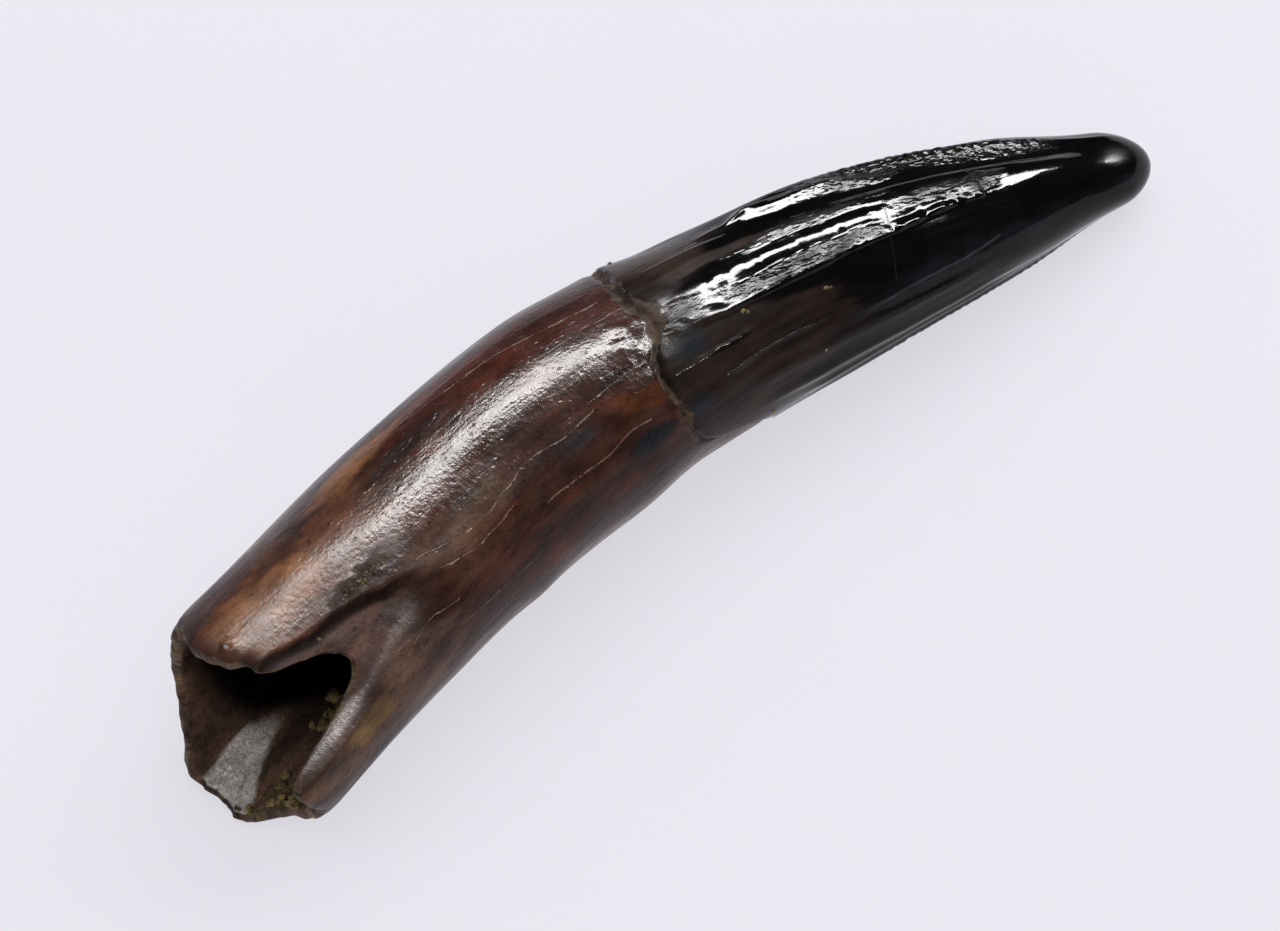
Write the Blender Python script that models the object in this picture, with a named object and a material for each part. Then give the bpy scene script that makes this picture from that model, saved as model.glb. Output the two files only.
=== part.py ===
"""Fossil crocodile tooth, one hollow piece lying on its side.

The crown is a bluntly pointed cone of ridged enamel with a carina down each edge. The root is a
smooth tube that ends in a broken, partly dissolved rim, where the pulp cavity stands open.

A point of the skin has two coordinates. "along" is the distance from the base to the tip, measured
on the curved centre line. "angle" goes round the section in degrees: 0 is the outside of the curve
(+Y), 90 the top, 180 the inside of the curve (-Y) and 270 the underside.
"""
import bmesh
import bpy
import numpy as np

MM = 0.001

# The centre line, seen from above: it turns from one heading to the other over part of its length
LENGTH = 28.2 * MM
HEADING_AT_BASE = np.radians(13.4)
HEADING_AT_TIP = np.radians(-9.4)
BEND_FROM, BEND_TO = 0.05, 0.78

# Half-width of the section against the fraction of the length, and the rounded nose of the tip
TAPER = ((0.0, 2.80), (0.10, 2.78), (0.25, 2.78), (0.40, 2.76), (0.50, 2.54), (0.58, 2.37),
         (0.66, 2.25), (0.76, 1.99), (0.86, 1.58), (0.94, 1.10), (1.0, 0.80))
NOSE = 1.15 * MM
SECTION_HEIGHT_TO_WIDTH = 0.95
RESTING_BAND = 0.040 * MM

# Broken rim of the root: angle, distance along. It has a U-shaped notch and a prong beside it
RIM = ((0, 0.65), (20, 0.75), (40, 0.50), (50, 0.20), (60, -0.05), (72, -0.07), (82, 0.0),
       (92, 0.28), (98, 0.34), (104, 0.60), (110, 1.20), (120, 1.95), (130, 2.2), (138, 1.95),
       (144, 1.35), (150, 0.15), (156, -0.70), (163, -1.0), (175, -0.80), (190, -0.45),
       (205, -0.25), (225, -0.15), (238, -0.12), (250, -0.45), (260, -0.75), (270, -0.72),
       (283, -0.60), (296, -0.72), (302, -0.55), (310, -0.20), (330, 0.30), (350, 0.60), (360, 0.65))
CRUMBLE = 0.06 * MM
WORN_EDGE = 0.07 * MM
WORN_EDGE_WIDTH = 0.18 * MM
WORN_LESS_IN_PIT = 0.8

# Hollow dissolved into the wall round the notch: distance along, angle of each of its sides
LEDGE = ((-0.6, 91.0), (0.3, 94.5), (0.7, 97.0), (1.45, 102.0), (2.1, 104.0), (2.75, 107.5),
         (3.9, 114.0), (4.8, 122.0))
LEDGE_WIDTH = 3.6
SHOULDER_FOOT = ((-1.0, 154.0), (0.5, 150.0), (1.5, 143.0), (2.3, 128.0), (3.5, 119.0), (4.8, 124.0))
SHOULDER_BROW = ((-1.0, 161.0), (0.5, 156.0), (1.5, 154.0), (3.4, 153.0), (4.8, 147.0))
PIT_TOP = 5.0 * MM
PIT_RUN_OUT = 1.2 * MM
PIT_DEPTH = 0.36 * MM

# Pulp cavity, with low ribs down its walls: angle, half-width in degrees
WALL_AT_RIM = 0.44 * MM
CAVITY_DEPTH = 11.5 * MM
CAVITY_RIBS = ((205, 9.0), (247, 7.0), (303, 6.0))
CAVITY_RIB_HEIGHT = 0.09 * MM

# Gentle swellings of the root: height, lobes round the section, distance along per radian
SWELLINGS = ((0.035, 2, 1.9), (0.025, 3, -1.1))
SWELLINGS_FADE = (11.0 * MM, 15.0 * MM)

# Shallow dents and local swellings of the skin: distance along, angle, reach of each, height
SKIN_DENTS = ((2.4, 200, 2.6, 30, -0.15), (7.7, 196, 0.65, 14, 0.06), (10.0, 196, 1.6, 20, -0.05),
              (13.4, 198, 1.3, 24, -0.10), (21.4, 203, 3.8, 24, -0.16), (26.0, 205, 1.6, 34, -0.06),
              (2.0, 100, 2.6, 14, -0.07), (10.2, 22, 1.8, 24, 0.06), (13.9, 28, 0.8, 16, 0.10),
              (24.8, 22, 2.2, 30, 0.13), (25.4, 104, 1.2, 14, 0.045), (9.0, 76, 4.0, 14, -0.06))

# Edge of the enamel: angle, distance along
CERVIX = ((0, 14.0), (31, 13.9), (58, 13.7), (78, 13.45), (97, 13.60), (107, 13.4), (118, 12.9),
          (131, 12.85), (153, 13.05), (172, 13.3), (196, 15.5), (215, 15.8), (250, 15.0),
          (290, 14.3), (330, 13.9), (360, 14.0))
ENAMEL_THICKNESS = 0.07 * MM
CERVIX_GROOVE = 0.09 * MM
CERVIX_GROOVE_WIDTH = 0.17 * MM
ENAMEL_STEP_WIDTH = 0.25 * MM
ENAMEL_MERGES = (20.0 * MM, 26.0 * MM)

# Enamel ridges: angle at the cervix, angle at the tip, start, end, height, half-width in degrees
RIDGES = ((62, 38, 15.0, 20.5, 0.07, 3.0),
          (45, 95, 15.5, 25.0, 0.11, 4.2),
          (76, 100, 14.4, 25.5, 0.12, 4.2),
          (94, 113, 14.2, 26.5, 0.12, 4.6),
          (109, 126, 13.9, 25.5, 0.15, 3.6),
          (120, 142, 16.5, 26.5, 0.08, 3.6),
          (128, 124, 13.2, 17.5, 0.07, 3.4),
          (141, 149, 13.6, 24.5, 0.10, 4.2),
          (157, 161, 14.0, 23.5, 0.06, 4.2),
          (176, 184, 15.0, 24.0, 0.07, 4.2),
          (192, 198, 16.5, 24.5, 0.07, 4.2))
CROWN_FROM = 13.5 * MM
RIDGE_RUN_IN = 1.3 * MM
RIDGE_RUN_OUT = 2.6 * MM

# The side that faces down and away has evenly set ridges, every second one a little lower
EVEN_RIDGE_ANGLES = np.arange(236, 396, 14.5)
EVEN_RIDGE_HEIGHTS = (0.075 * MM, 0.050 * MM)
EVEN_RIDGE_WIDTH = 4.2
EVEN_RIDGE_RISE = (14.5 * MM, 16.0 * MM)
EVEN_RIDGE_FADE = (22.0 * MM, 26.0 * MM)

# Carinae, the cutting edges of the crown: distance along, angle of each
OUTER_CARINA = ((14.0, 38.0), (20.0, 46.0), (21.8, 50.0), (23.3, 56.0), (28.2, 66.0))
INNER_CARINA = ((14.0, 206.0), (20.0, 212.0), (28.2, 232.0))
OUTER_CARINA_HEIGHT = 0.16 * MM
INNER_CARINA_HEIGHT = 0.10 * MM
CARINA_WIDTH = 5.0
CARINA_RISE = (15.0 * MM, 19.5 * MM)
CARINA_FADE = (23.5 * MM, 28.0 * MM)

# Columns of the mesh run from base to tip. Those round LEDGE_COLUMN lean over to follow the ledge
SEGMENTS = 100
LEDGE_COLUMN = 100.8
LEAN_FROM, LEAN_TO = 50.0, 190.0
LEAN_ENDS = 9.0 * MM
LEAN_ROUNDS = 6

# Rings of the mesh, as fractions of the way from the rim to the cervix and on to the tip
ROOT_RINGS = (0.0, 0.03, 0.07, 0.12, 0.17, 0.23, 0.30, 0.38, 0.48, 0.60, 0.74, 0.88, 0.955, 0.985)
CROWN_RINGS = (0.0, 0.02, 0.06, 0.13, 0.21, 0.29, 0.37, 0.45, 0.53, 0.61, 0.69, 0.76, 0.83, 0.89,
               0.935, 0.965, 0.985, 0.996)
CAVITY_RINGS = (0.0, 0.07, 0.16, 0.28, 0.42, 0.58, 0.75, 0.90, 0.98)
SHARP_EDGE_ANGLE = np.radians(50.0)


def smoothstep(low, high, value):
    """0 below low, 1 above high, with an even S between them."""
    k = np.clip((value - low) / (high - low), 0.0, 1.0)
    return k * k * (3.0 - 2.0 * k)


def curve_through(points, value):
    """Smooth curve through hand-placed points that never overshoots between two of them."""
    xs, ys = np.array(points, dtype=float).T
    step = np.diff(xs)
    rise = np.diff(ys) / step
    product = rise[1:] * rise[:-1]
    slope = np.concatenate([rise[:1], np.zeros(len(product)), rise[-1:]])
    steady = np.flatnonzero(product > 0.0)
    slope[steady + 1] = 2.0 * product[steady] / (rise[1:] + rise[:-1])[steady]
    i = np.clip(np.searchsorted(xs, value) - 1, 0, len(step) - 1)
    k = np.clip((value - xs[i]) / step[i], 0.0, 1.0)
    return (ys[i] * (1 - k) ** 2 * (1 + 2 * k) + ys[i + 1] * k * k * (3 - 2 * k)
            + slope[i] * step[i] * k * (1 - k) ** 2 - slope[i + 1] * step[i] * k * k * (1 - k))


def ridge(angle, crest, half_width):
    """Rounded ridge across the angle, 1 on its crest."""
    away = (angle - crest + 180.0) % 360.0 - 180.0
    return np.exp(-(away / half_width) ** 2)


def centre_line(along):
    """Plan position and heading of the centre line. It runs straight on beyond the base."""
    stations = np.linspace(0.0, LENGTH, 601)
    turned = smoothstep(BEND_FROM, BEND_TO, stations / LENGTH)
    heading = HEADING_AT_BASE + (HEADING_AT_TIP - HEADING_AT_BASE) * turned
    middle = 0.5 * (heading[1:] + heading[:-1])
    step = stations[1]
    x = np.concatenate([[0.0], np.cumsum(np.cos(middle)) * step])
    y = np.concatenate([[0.0], np.cumsum(np.sin(middle)) * step])
    beyond = np.minimum(along, 0.0)
    return (np.interp(along, stations, x) + beyond * np.cos(HEADING_AT_BASE),
            np.interp(along, stations, y) + beyond * np.sin(HEADING_AT_BASE),
            np.interp(along, stations, heading))


def taper(along):
    """Half-width of the plain tooth, before the tip is rounded."""
    return curve_through(TAPER, np.clip(along / LENGTH, 0.0, 1.0)) * MM


def rim_at(angle):
    """Distance along of the broken edge."""
    return curve_through(RIM, angle % 360.0) * MM


def cervix_at(angle):
    """Distance along of the enamel's edge."""
    return curve_through(CERVIX, angle % 360.0) * MM


def pit_depth(along, angle):
    """Hollow round the notch: steep under the ledge, soft at its shoulder and its upper end."""
    ledge = curve_through(LEDGE, along / MM)
    foot = curve_through(SHOULDER_FOOT, along / MM)
    brow = curve_through(SHOULDER_BROW, along / MM)
    across = smoothstep(ledge, ledge + LEDGE_WIDTH, angle) * (1.0 - smoothstep(foot, brow, angle))
    return PIT_DEPTH * across * (1.0 - smoothstep(PIT_TOP - PIT_RUN_OUT, PIT_TOP, along))


def enamel_ridges(along, angle):
    """Ridges of the crown, each rising from its start and dying out before the tip."""
    height = np.zeros_like(along)
    crown_part = np.clip((along - CROWN_FROM) / (LENGTH - CROWN_FROM), 0.0, 1.0)
    for first, last, start, end, rise, half_width in RIDGES:
        crest = first + (last - first) * crown_part
        grows = smoothstep(start * MM, start * MM + RIDGE_RUN_IN, along)
        dies = smoothstep(end * MM - RIDGE_RUN_OUT, end * MM, along)
        height += rise * MM * grows * (1.0 - dies) * ridge(angle, crest, half_width)
    even_span = smoothstep(*EVEN_RIDGE_RISE, along) * (1.0 - smoothstep(*EVEN_RIDGE_FADE, along))
    for number, crest in enumerate(EVEN_RIDGE_ANGLES):
        height += EVEN_RIDGE_HEIGHTS[number % 2] * even_span * ridge(angle, crest, EVEN_RIDGE_WIDTH)
    return height


def carinae(along, angle):
    """The two edges of the crown, highest towards the tip and gone at it."""
    span = smoothstep(*CARINA_RISE, along) * (1.0 - smoothstep(*CARINA_FADE, along))
    outer = ridge(angle, curve_through(OUTER_CARINA, along / MM), CARINA_WIDTH)
    inner = ridge(angle, curve_through(INNER_CARINA, along / MM), CARINA_WIDTH)
    return span * (OUTER_CARINA_HEIGHT * outer + INNER_CARINA_HEIGHT * inner)


def relief(along, angle):
    """Height of the skin's features above the plain taper."""
    past_cervix = along - cervix_at(angle)
    enamel = ENAMEL_THICKNESS * smoothstep(0.0, ENAMEL_STEP_WIDTH, past_cervix)
    enamel = enamel * (1.0 - smoothstep(*ENAMEL_MERGES, along))
    groove = CERVIX_GROOVE * np.exp(-(past_cervix / CERVIX_GROOVE_WIDTH) ** 2)
    swell = np.zeros_like(along)
    for height, lobes, run in SWELLINGS:
        swell += height * MM * np.sin(lobes * np.radians(angle) + along / (run * MM))
    swell = swell * (1.0 - smoothstep(*SWELLINGS_FADE, along))
    whole = 1.0 - pit_depth(along, angle) / PIT_DEPTH
    for at, crest, reach, half_width, height in SKIN_DENTS:
        near = np.exp(-((along / MM - at) / reach) ** 2)
        swell += height * MM * whole * near * ridge(angle, crest, half_width)
    return enamel - groove + swell + enamel_ridges(along, angle) + carinae(along, angle)


def outer_radius(along, angle):
    """Skin of the tooth, drawn in to a round nose at the tip."""
    q = np.clip((along - (LENGTH - NOSE)) / NOSE, 0.0, 1.0)
    pit = pit_depth(along, angle)
    worn = WORN_EDGE * np.exp(-np.maximum(along - rim_at(angle), 0.0) / WORN_EDGE_WIDTH)
    worn = worn * (1.0 - WORN_LESS_IN_PIT * pit / PIT_DEPTH)
    skin = taper(along) + relief(along, angle) - pit - worn
    return skin * np.sqrt(1.0 - q * q)


def cavity_radius(along, angle):
    """Pulp cavity, narrowing to a rounded end, with low ribs down its far wall."""
    deep = np.clip(along / CAVITY_DEPTH, 0.0, 1.0)
    narrowing = (1.0 - deep ** 1.5) ** 0.85
    ribs = sum(ridge(angle, crest, half_width) for crest, half_width in CAVITY_RIBS)
    return (taper(along) - WALL_AT_RIM - CAVITY_RIB_HEIGHT * ribs) * narrowing


def place(along, angle, radius):
    """Points in space: the section stands across the centre line, its lowest plain point on z = 0."""
    x, y, heading = centre_line(along)
    turn = np.radians(angle)
    sideways = radius * np.cos(turn)
    upward = radius * np.sin(turn) * SECTION_HEIGHT_TO_WIDTH
    level = taper(along) * SECTION_HEIGHT_TO_WIDTH
    return np.stack([x - np.sin(heading) * sideways, y + np.cos(heading) * sideways, level + upward], -1)


def lean(along, column):
    """Angle of a mesh column at one distance along: beside the ledge it keeps to the ledge."""
    pull = curve_through(LEDGE, along / MM) - LEDGE_COLUMN
    pull = pull * (1.0 - smoothstep(PIT_TOP, LEAN_ENDS, along))
    before = smoothstep(LEAN_FROM, LEDGE_COLUMN, column)
    behind = 1.0 - smoothstep(LEDGE_COLUMN + LEDGE_WIDTH, LEAN_TO, column)
    return column + pull * before * behind


def mesh_rings(column):
    """All rings in order: from the tip down the skin, over the broken rim and up the cavity."""
    edge = column
    for _ in range(LEAN_ROUNDS):
        edge = lean(rim_at(edge), column)
    rim = rim_at(edge)
    cervix = cervix_at(column)
    rings = []
    for fraction in reversed(CROWN_RINGS):
        along = cervix + (LENGTH - cervix) * fraction
        rings.append(place(along, column, outer_radius(along, column)))
    for fraction in reversed(ROOT_RINGS):
        along = rim + (cervix - rim) * fraction
        angle = lean(along, column)
        rings.append(place(along, angle, outer_radius(along, angle)))
    crumble = CRUMBLE * np.sin(7 * np.radians(edge)) * np.sin(12 * np.radians(edge))
    middle = 0.5 * (outer_radius(rim, edge) + cavity_radius(rim, edge))
    rings.append(place(rim - crumble, edge, middle))
    for fraction in CAVITY_RINGS:
        along = rim + (CAVITY_DEPTH - rim) * fraction
        rings.append(place(along, edge, cavity_radius(along, edge)))
    return np.array(rings)


def tooth_mesh():
    """Closed mesh of the whole tooth, with one pole at the tip and one at the end of the cavity."""
    rings = mesh_rings(np.arange(SEGMENTS) * 360.0 / SEGMENTS)
    tip = place(np.array([LENGTH]), np.array([0.0]), np.array([0.0]))
    cavity_end = place(np.array([CAVITY_DEPTH]), np.array([0.0]), np.array([0.0]))
    points = np.concatenate([rings.reshape(-1, 3), tip, cavity_end])
    points[points[:, 2] < RESTING_BAND, 2] = 0.0
    middle = 0.5 * (points.min(axis=0) + points.max(axis=0))
    points[:, :2] -= middle[:2]

    bm = bmesh.new()
    verts = [bm.verts.new(point) for point in points]
    ring_count = len(rings)
    tip_vert, end_vert = verts[-2], verts[-1]
    for side in range(SEGMENTS):
        beside = (side + 1) % SEGMENTS
        bm.faces.new((tip_vert, verts[side], verts[beside]))
        for ring in range(ring_count - 1):
            upper, lower = ring * SEGMENTS, (ring + 1) * SEGMENTS
            bm.faces.new((verts[upper + side], verts[lower + side], verts[lower + beside],
                          verts[upper + beside]))
        last = (ring_count - 1) * SEGMENTS
        bm.faces.new((verts[last + side], end_vert, verts[last + beside]))
    bmesh.ops.recalc_face_normals(bm, faces=bm.faces)
    bmesh.ops.triangulate(bm, faces=bm.faces)
    mesh = bpy.data.meshes.new("tooth")
    bm.to_mesh(mesh)
    bm.free()
    mesh.shade_smooth()
    mesh.set_sharp_from_angle(angle=SHARP_EDGE_ANGLE)
    return mesh


def tooth_material():
    """Dark, polished fossil enamel and dentine."""
    material = bpy.data.materials.new("fossil tooth")
    material.use_nodes = True
    shader = material.node_tree.nodes["Principled BSDF"]
    shader.inputs["Base Color"].default_value = (0.045, 0.022, 0.014, 1.0)
    shader.inputs["Roughness"].default_value = 0.30
    shader.inputs["Metallic"].default_value = 0.0
    return material


def build_tooth():
    tooth = bpy.data.objects.new("tooth", tooth_mesh())
    tooth.data.materials.append(tooth_material())
    bpy.context.scene.collection.objects.link(tooth)


for old in list(bpy.data.objects):
    bpy.data.objects.remove(old, do_unlink=True)
build_tooth()
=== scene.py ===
import bpy
import numpy as np
from mathutils import Matrix, Vector


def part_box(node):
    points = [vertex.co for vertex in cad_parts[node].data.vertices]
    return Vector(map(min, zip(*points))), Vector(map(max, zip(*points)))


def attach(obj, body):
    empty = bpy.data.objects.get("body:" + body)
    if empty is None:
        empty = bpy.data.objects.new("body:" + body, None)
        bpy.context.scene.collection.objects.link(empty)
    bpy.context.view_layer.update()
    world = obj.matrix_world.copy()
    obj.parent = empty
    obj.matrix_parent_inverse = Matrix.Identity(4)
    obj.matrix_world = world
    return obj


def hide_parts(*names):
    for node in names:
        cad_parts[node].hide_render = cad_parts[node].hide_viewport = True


# A fossil crocodile tooth lying on its side. Everything below is worked out in millimetres
# and goes into the mesh in metres. A place on the tooth has two coordinates: "along" runs
# from the broken base (0) to the tip, and "angle" goes round the section in degrees,
# 0 the outside of the curve, 90 the top, 180 the inside of the curve, 270 the underside.
# A pair called rise, fade, span or reach is where a smooth step starts and ends, or how far
# a bell reaches in mm and degrees. A noise layer is (height, cell, seed, octaves).

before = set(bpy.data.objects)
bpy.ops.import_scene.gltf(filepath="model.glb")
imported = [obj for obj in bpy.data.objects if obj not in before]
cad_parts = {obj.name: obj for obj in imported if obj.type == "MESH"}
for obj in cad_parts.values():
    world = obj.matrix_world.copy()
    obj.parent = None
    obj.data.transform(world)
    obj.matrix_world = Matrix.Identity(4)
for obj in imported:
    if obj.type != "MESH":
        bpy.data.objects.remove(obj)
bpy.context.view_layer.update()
mm = 0.001
print("frame loaded:", ", ".join(sorted(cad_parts)))

toothForm = {
    "length": 28.2, "stations": 601,
    "headingAtBase": 13.4, "headingAtTip": -9.4,      # degrees, seen from above
    "bend": (0.05, 0.78),                             # where the turn starts and ends
    "taper": ((0.0, 2.80), (0.10, 2.78), (0.25, 2.78), (0.40, 2.76), (0.50, 2.54), (0.58, 2.37),
              (0.66, 2.25), (0.76, 1.99), (0.86, 1.58), (0.94, 1.10), (1.0, 0.80)),
    "nose": 1.15,
    "heightToWidth": 0.95,
    "restingBand": 0.040,                             # what is this low lies flat on the ground
    "swellings": ((0.035, 2, 1.9), (0.025, 3, -1.1)), # height, lobes round, run along
    "swellingsFade": (11.0, 15.0),
}

brokenBase = {
    "rim": ((0, 0.65), (20, 0.75), (40, 0.50), (50, 0.20), (60, -0.05), (72, -0.07), (82, 0.0),
            (92, 0.28), (98, 0.34), (104, 0.60), (110, 1.20), (120, 1.95), (130, 2.2), (138, 1.95),
            (144, 1.35), (150, 0.15), (156, -0.70), (163, -1.0), (175, -0.80), (190, -0.45),
            (205, -0.25), (225, -0.15), (238, -0.12), (250, -0.45), (260, -0.75), (270, -0.72),
            (283, -0.60), (296, -0.72), (302, -0.55), (310, -0.20), (330, 0.30), (350, 0.60),
            (360, 0.65)),
    "chips": ((0.055, 0.34, 11, 1), (0.028, 0.13, 12, 1)),
    "calmRim": ((58.0, 15.0), (165.0, 14.0)),         # angle and reach of its worn, smooth lips
    "calmShare": 0.85,
    "rolledEdge": 0.115, "rolledEdgeWidth": 0.17, "lessRolledInPit": 0.8,
    "ledge": ((-0.6, 91.0), (0.3, 94.5), (0.7, 97.0), (1.45, 102.0), (2.1, 104.0),
              (2.75, 107.5), (3.9, 114.0), (4.8, 122.0)),
    "ledgeWidth": 3.6, "ledgeWaver": (1.0, 0.42, 31, 1),
    "shoulderFoot": ((-1.0, 154.0), (0.5, 150.0), (1.5, 143.0), (2.3, 128.0), (3.5, 119.0),
                     (4.8, 124.0)),
    "shoulderBrow": ((-1.0, 161.0), (0.5, 156.0), (1.5, 154.0), (3.4, 153.0), (4.8, 147.0)),
    "pitTop": 5.0, "pitRunOut": 1.2, "pitDepth": 0.36,
    "thinnestWall": 0.08, "thinWallUpTo": 8.0,
    "crevice": 0.10, "creviceBeyond": 0.6,            # groove just past the foot of the ledge
    "creviceWidths": (1.7, 3.0), "creviceRise": (0.0, 0.6), "creviceFade": (3.6, 4.6),
    "noduleAt": (0.30, 79.5), "noduleRadius": 0.19, "noduleHeight": 0.055,
    "noduleFromAxis": 2.8, "noduleDimple": (1.1, 0.42),     # its depth and width as shares
}

pulpCavity = {
    "wallAtRim": 0.44, "depth": 11.5,
    "closes": (1.5, 0.85),                            # powers of its narrowing
    "ribs": ((205, 9.0), (247, 7.0), (303, 6.0)),     # angle and width
    "ribHeight": 0.09,
    "facetRidge": ((-0.9, 289.0), (0.1, 292.0), (0.87, 293.0), (1.35, 288.0), (2.4, 280.0)),
    "facetRidgeHeight": 0.10, "facetRidgeWidths": (4.5, 1.8), "facetRidgeFade": (2.4, 3.4),
    "roughness": ((0.030, (0.6, 0.6, 1.0), 81, 3), (0.010, 0.14, 82, 2)),
}

enamelEdge = {
    "line": ((0, 14.0), (31, 13.9), (58, 13.7), (78, 13.45), (97, 13.60), (107, 13.4),
             (118, 12.9), (131, 12.85), (153, 13.05), (172, 13.3), (196, 15.5), (215, 15.8),
             (250, 15.0), (290, 14.3), (330, 13.9), (360, 14.0)),
    "waver": (0.05, 0.45, 21, 1), "waverAt": 13.0,
    "thickness": 0.075, "stepWidth": 0.20, "merges": (20.0, 26.0),
    "groove": 0.10, "grooveWidth": 0.13, "grooveShare": 0.65, "grooveUneven": (0.5, 0.3, 61, 1),
}

# The ridges of the crown on the side that shows. Each has its path (along, angle), its height,
# how many degrees it takes to rise before the crest and to fall behind it, and how much of its
# height comes and goes along it.
crownRidges = (
    {"path": ((15.9, 58), (16.5, 57.5), (17.6, 56), (18.8, 54.5), (19.8, 51)),
     "height": 0.045, "before": 2.4, "after": 1.6, "runIn": 0.8, "runOut": 0.8, "beads": 0.2},
    {"path": ((16.8, 56), (17.5, 56.5), (18.4, 59.5), (19.5, 58.5), (20.4, 62), (21.2, 65)),
     "height": 0.185, "before": 7.0, "after": 5.4, "runIn": 0.8, "runOut": 1.8, "beads": 0.0},
    {"path": ((14.0, 67), (15.6, 66), (17.0, 67.5)),
     "height": 0.028, "before": 1.8, "after": 2.0, "runIn": 0.8, "runOut": 0.9, "beads": 0.4},
    {"path": ((14.2, 75), (15.4, 74), (16.6, 73)),
     "height": 0.022, "before": 1.6, "after": 2.0, "runIn": 0.6, "runOut": 0.9, "beads": 0.5},
    {"path": ((14.4, 80), (15.6, 78), (16.5, 77.5), (17.1, 79), (18.4, 83), (19.4, 85),
              (20.5, 88), (22.0, 92), (23.6, 94)),
     "height": 0.016, "before": 2.6, "after": 2.2, "runIn": 0.9, "runOut": 1.6, "beads": 0.6},
    {"path": ((14.9, 86), (16.4, 86.5), (18.0, 88), (19.4, 91)),
     "height": 0.008, "before": 1.6, "after": 1.8, "runIn": 0.9, "runOut": 0.9, "beads": 0.6},
    {"path": ((14.7, 95), (15.6, 93), (17.0, 93.6), (18.4, 95), (19.8, 96.5), (21.0, 99)),
     "height": 0.034, "before": 5.2, "after": 5.6, "runIn": 0.8, "runOut": 1.2, "beads": 0.25},
    {"path": ((15.6, 104), (17.4, 105), (19.6, 105.5)),
     "height": 0.024, "before": 1.8, "after": 2.0, "runIn": 0.8, "runOut": 0.8, "beads": 0.8},
    {"path": ((14.3, 110), (15.7, 112.5), (17.0, 113.5), (18.1, 113.5), (19.1, 112.5),
              (20.0, 112), (20.6, 111.5)),
     "height": 0.095, "before": 4.6, "after": 1.5, "runIn": 0.5, "runOut": 0.4, "beads": 0.22},
    {"path": ((20.1, 111.5), (21.0, 110), (21.7, 108.5), (22.4, 109.5), (23.4, 109.5)),
     "height": 0.080, "before": 4.2, "after": 1.6, "runIn": 0.3, "runOut": 0.4, "beads": 1.0},
    {"path": ((20.3, 99), (21.6, 99), (23.2, 99)),
     "height": 0.030, "before": 3.0, "after": 3.4, "runIn": 0.7, "runOut": 0.6, "beads": 0.7},
    {"path": ((21.6, 99), (23.3, 99), (24.3, 98), (25.3, 98.5), (26.8, 101)),
     "height": 0.095, "before": 9.0, "after": 17.0, "runIn": 1.3, "runOut": 1.4, "beads": 0.0},
    {"path": ((20.2, 115), (21.2, 117), (22.1, 119), (24.6, 121)),
     "height": 0.010, "before": 3.0, "after": 1.3, "runIn": 0.6, "runOut": 1.2, "beads": 0.0},
    {"path": ((13.6, 128), (15.3, 128), (16.2, 126)),
     "height": 0.026, "before": 1.5, "after": 1.5, "runIn": 0.4, "runOut": 0.7, "beads": 0.3},
    {"path": ((16.6, 127), (18.4, 126), (19.9, 125), (23.1, 129), (26.2, 139)),
     "height": 0.016, "before": 5.0, "after": 1.3, "runIn": 1.0, "runOut": 2.5, "beads": 0.0},
    {"path": ((14.2, 143), (14.7, 143), (15.9, 140), (16.9, 141), (18.2, 141)),
     "height": 0.026, "before": 2.6, "after": 1.4, "runIn": 0.8, "runOut": 1.0, "beads": 0.2},
    {"path": ((18.6, 150), (19.1, 149), (20.4, 146.5), (22.2, 145), (23.0, 141)),
     "height": 0.034, "before": 9.0, "after": 1.0, "runIn": 0.8, "runOut": 0.25, "beads": 0.3},
    {"path": ((14.6, 159), (17.0, 160), (20.5, 161), (23.5, 160)),
     "height": 0.040, "before": 4.6, "after": 4.0, "runIn": 1.3, "runOut": 2.4, "beads": 0.0},
    {"path": ((15.2, 176), (18.5, 179), (24.0, 183)),
     "height": 0.055, "before": 4.6, "after": 4.0, "runIn": 1.3, "runOut": 2.6, "beads": 0.0},
    {"path": ((16.5, 192), (20.0, 194), (24.5, 198)),
     "height": 0.065, "before": 4.4, "after": 4.0, "runIn": 1.3, "runOut": 2.6, "beads": 0.0},
)

ridgeWander = {
    "waver": (0.9, (3.0, 3.0, 0.9), 41, 1),           # degrees
    "rough": (0.22, (0.5, 0.5, 0.28), 42, 1),
    "beads": (1.4, (0.6, 0.6, 0.16), 43, 1),
}

evenRidges = {
    "angles": (236, 396, 14.5),                       # first, last and step
    "heights": (0.075, 0.050), "width": 4.2,
    "rise": (14.5, 16.0), "fade": (22.0, 26.0),
}

carinae = {
    "outer": ((14.0, 38.0), (20.0, 46.0), (21.8, 50.0), (23.3, 56.0), (28.2, 66.0)),
    "inner": ((14.0, 206.0), (20.0, 212.0), (28.2, 232.0)),
    "outerHeight": 0.18, "innerHeight": 0.10, "widths": (5.0, 7.0),
    "rise": (15.0, 19.5), "fade": (23.5, 28.0),
    "under": ((18.8, 73), (19.9, 75), (21.3, 77), (22.6, 79), (24.2, 83), (25.6, 88)),
    "underDepth": 0.045, "underWidths": (7.5, 3.2),   # the long hollow beside the outer one
    "underRise": (18.8, 20.2), "underFade": (24.6, 26.0),
}

crenulations = {
    "height": 0.024, "period": 0.25, "rise": (18.5, 20.0), "fade": (25.0, 26.5),
    "aside": 4.0, "outerWidths": (6.0, 9.0), "innerWidths": (6.0, 6.0), "innerShare": 0.45,
    "jitter": (3.4, 0.5, 51, 1), "uneven": (0.8, (0.3, 0.3, 0.2), 53, 1),
    "strength": 0.6, "patchy": (0.6, 0.6, 52, 1),
}

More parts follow.
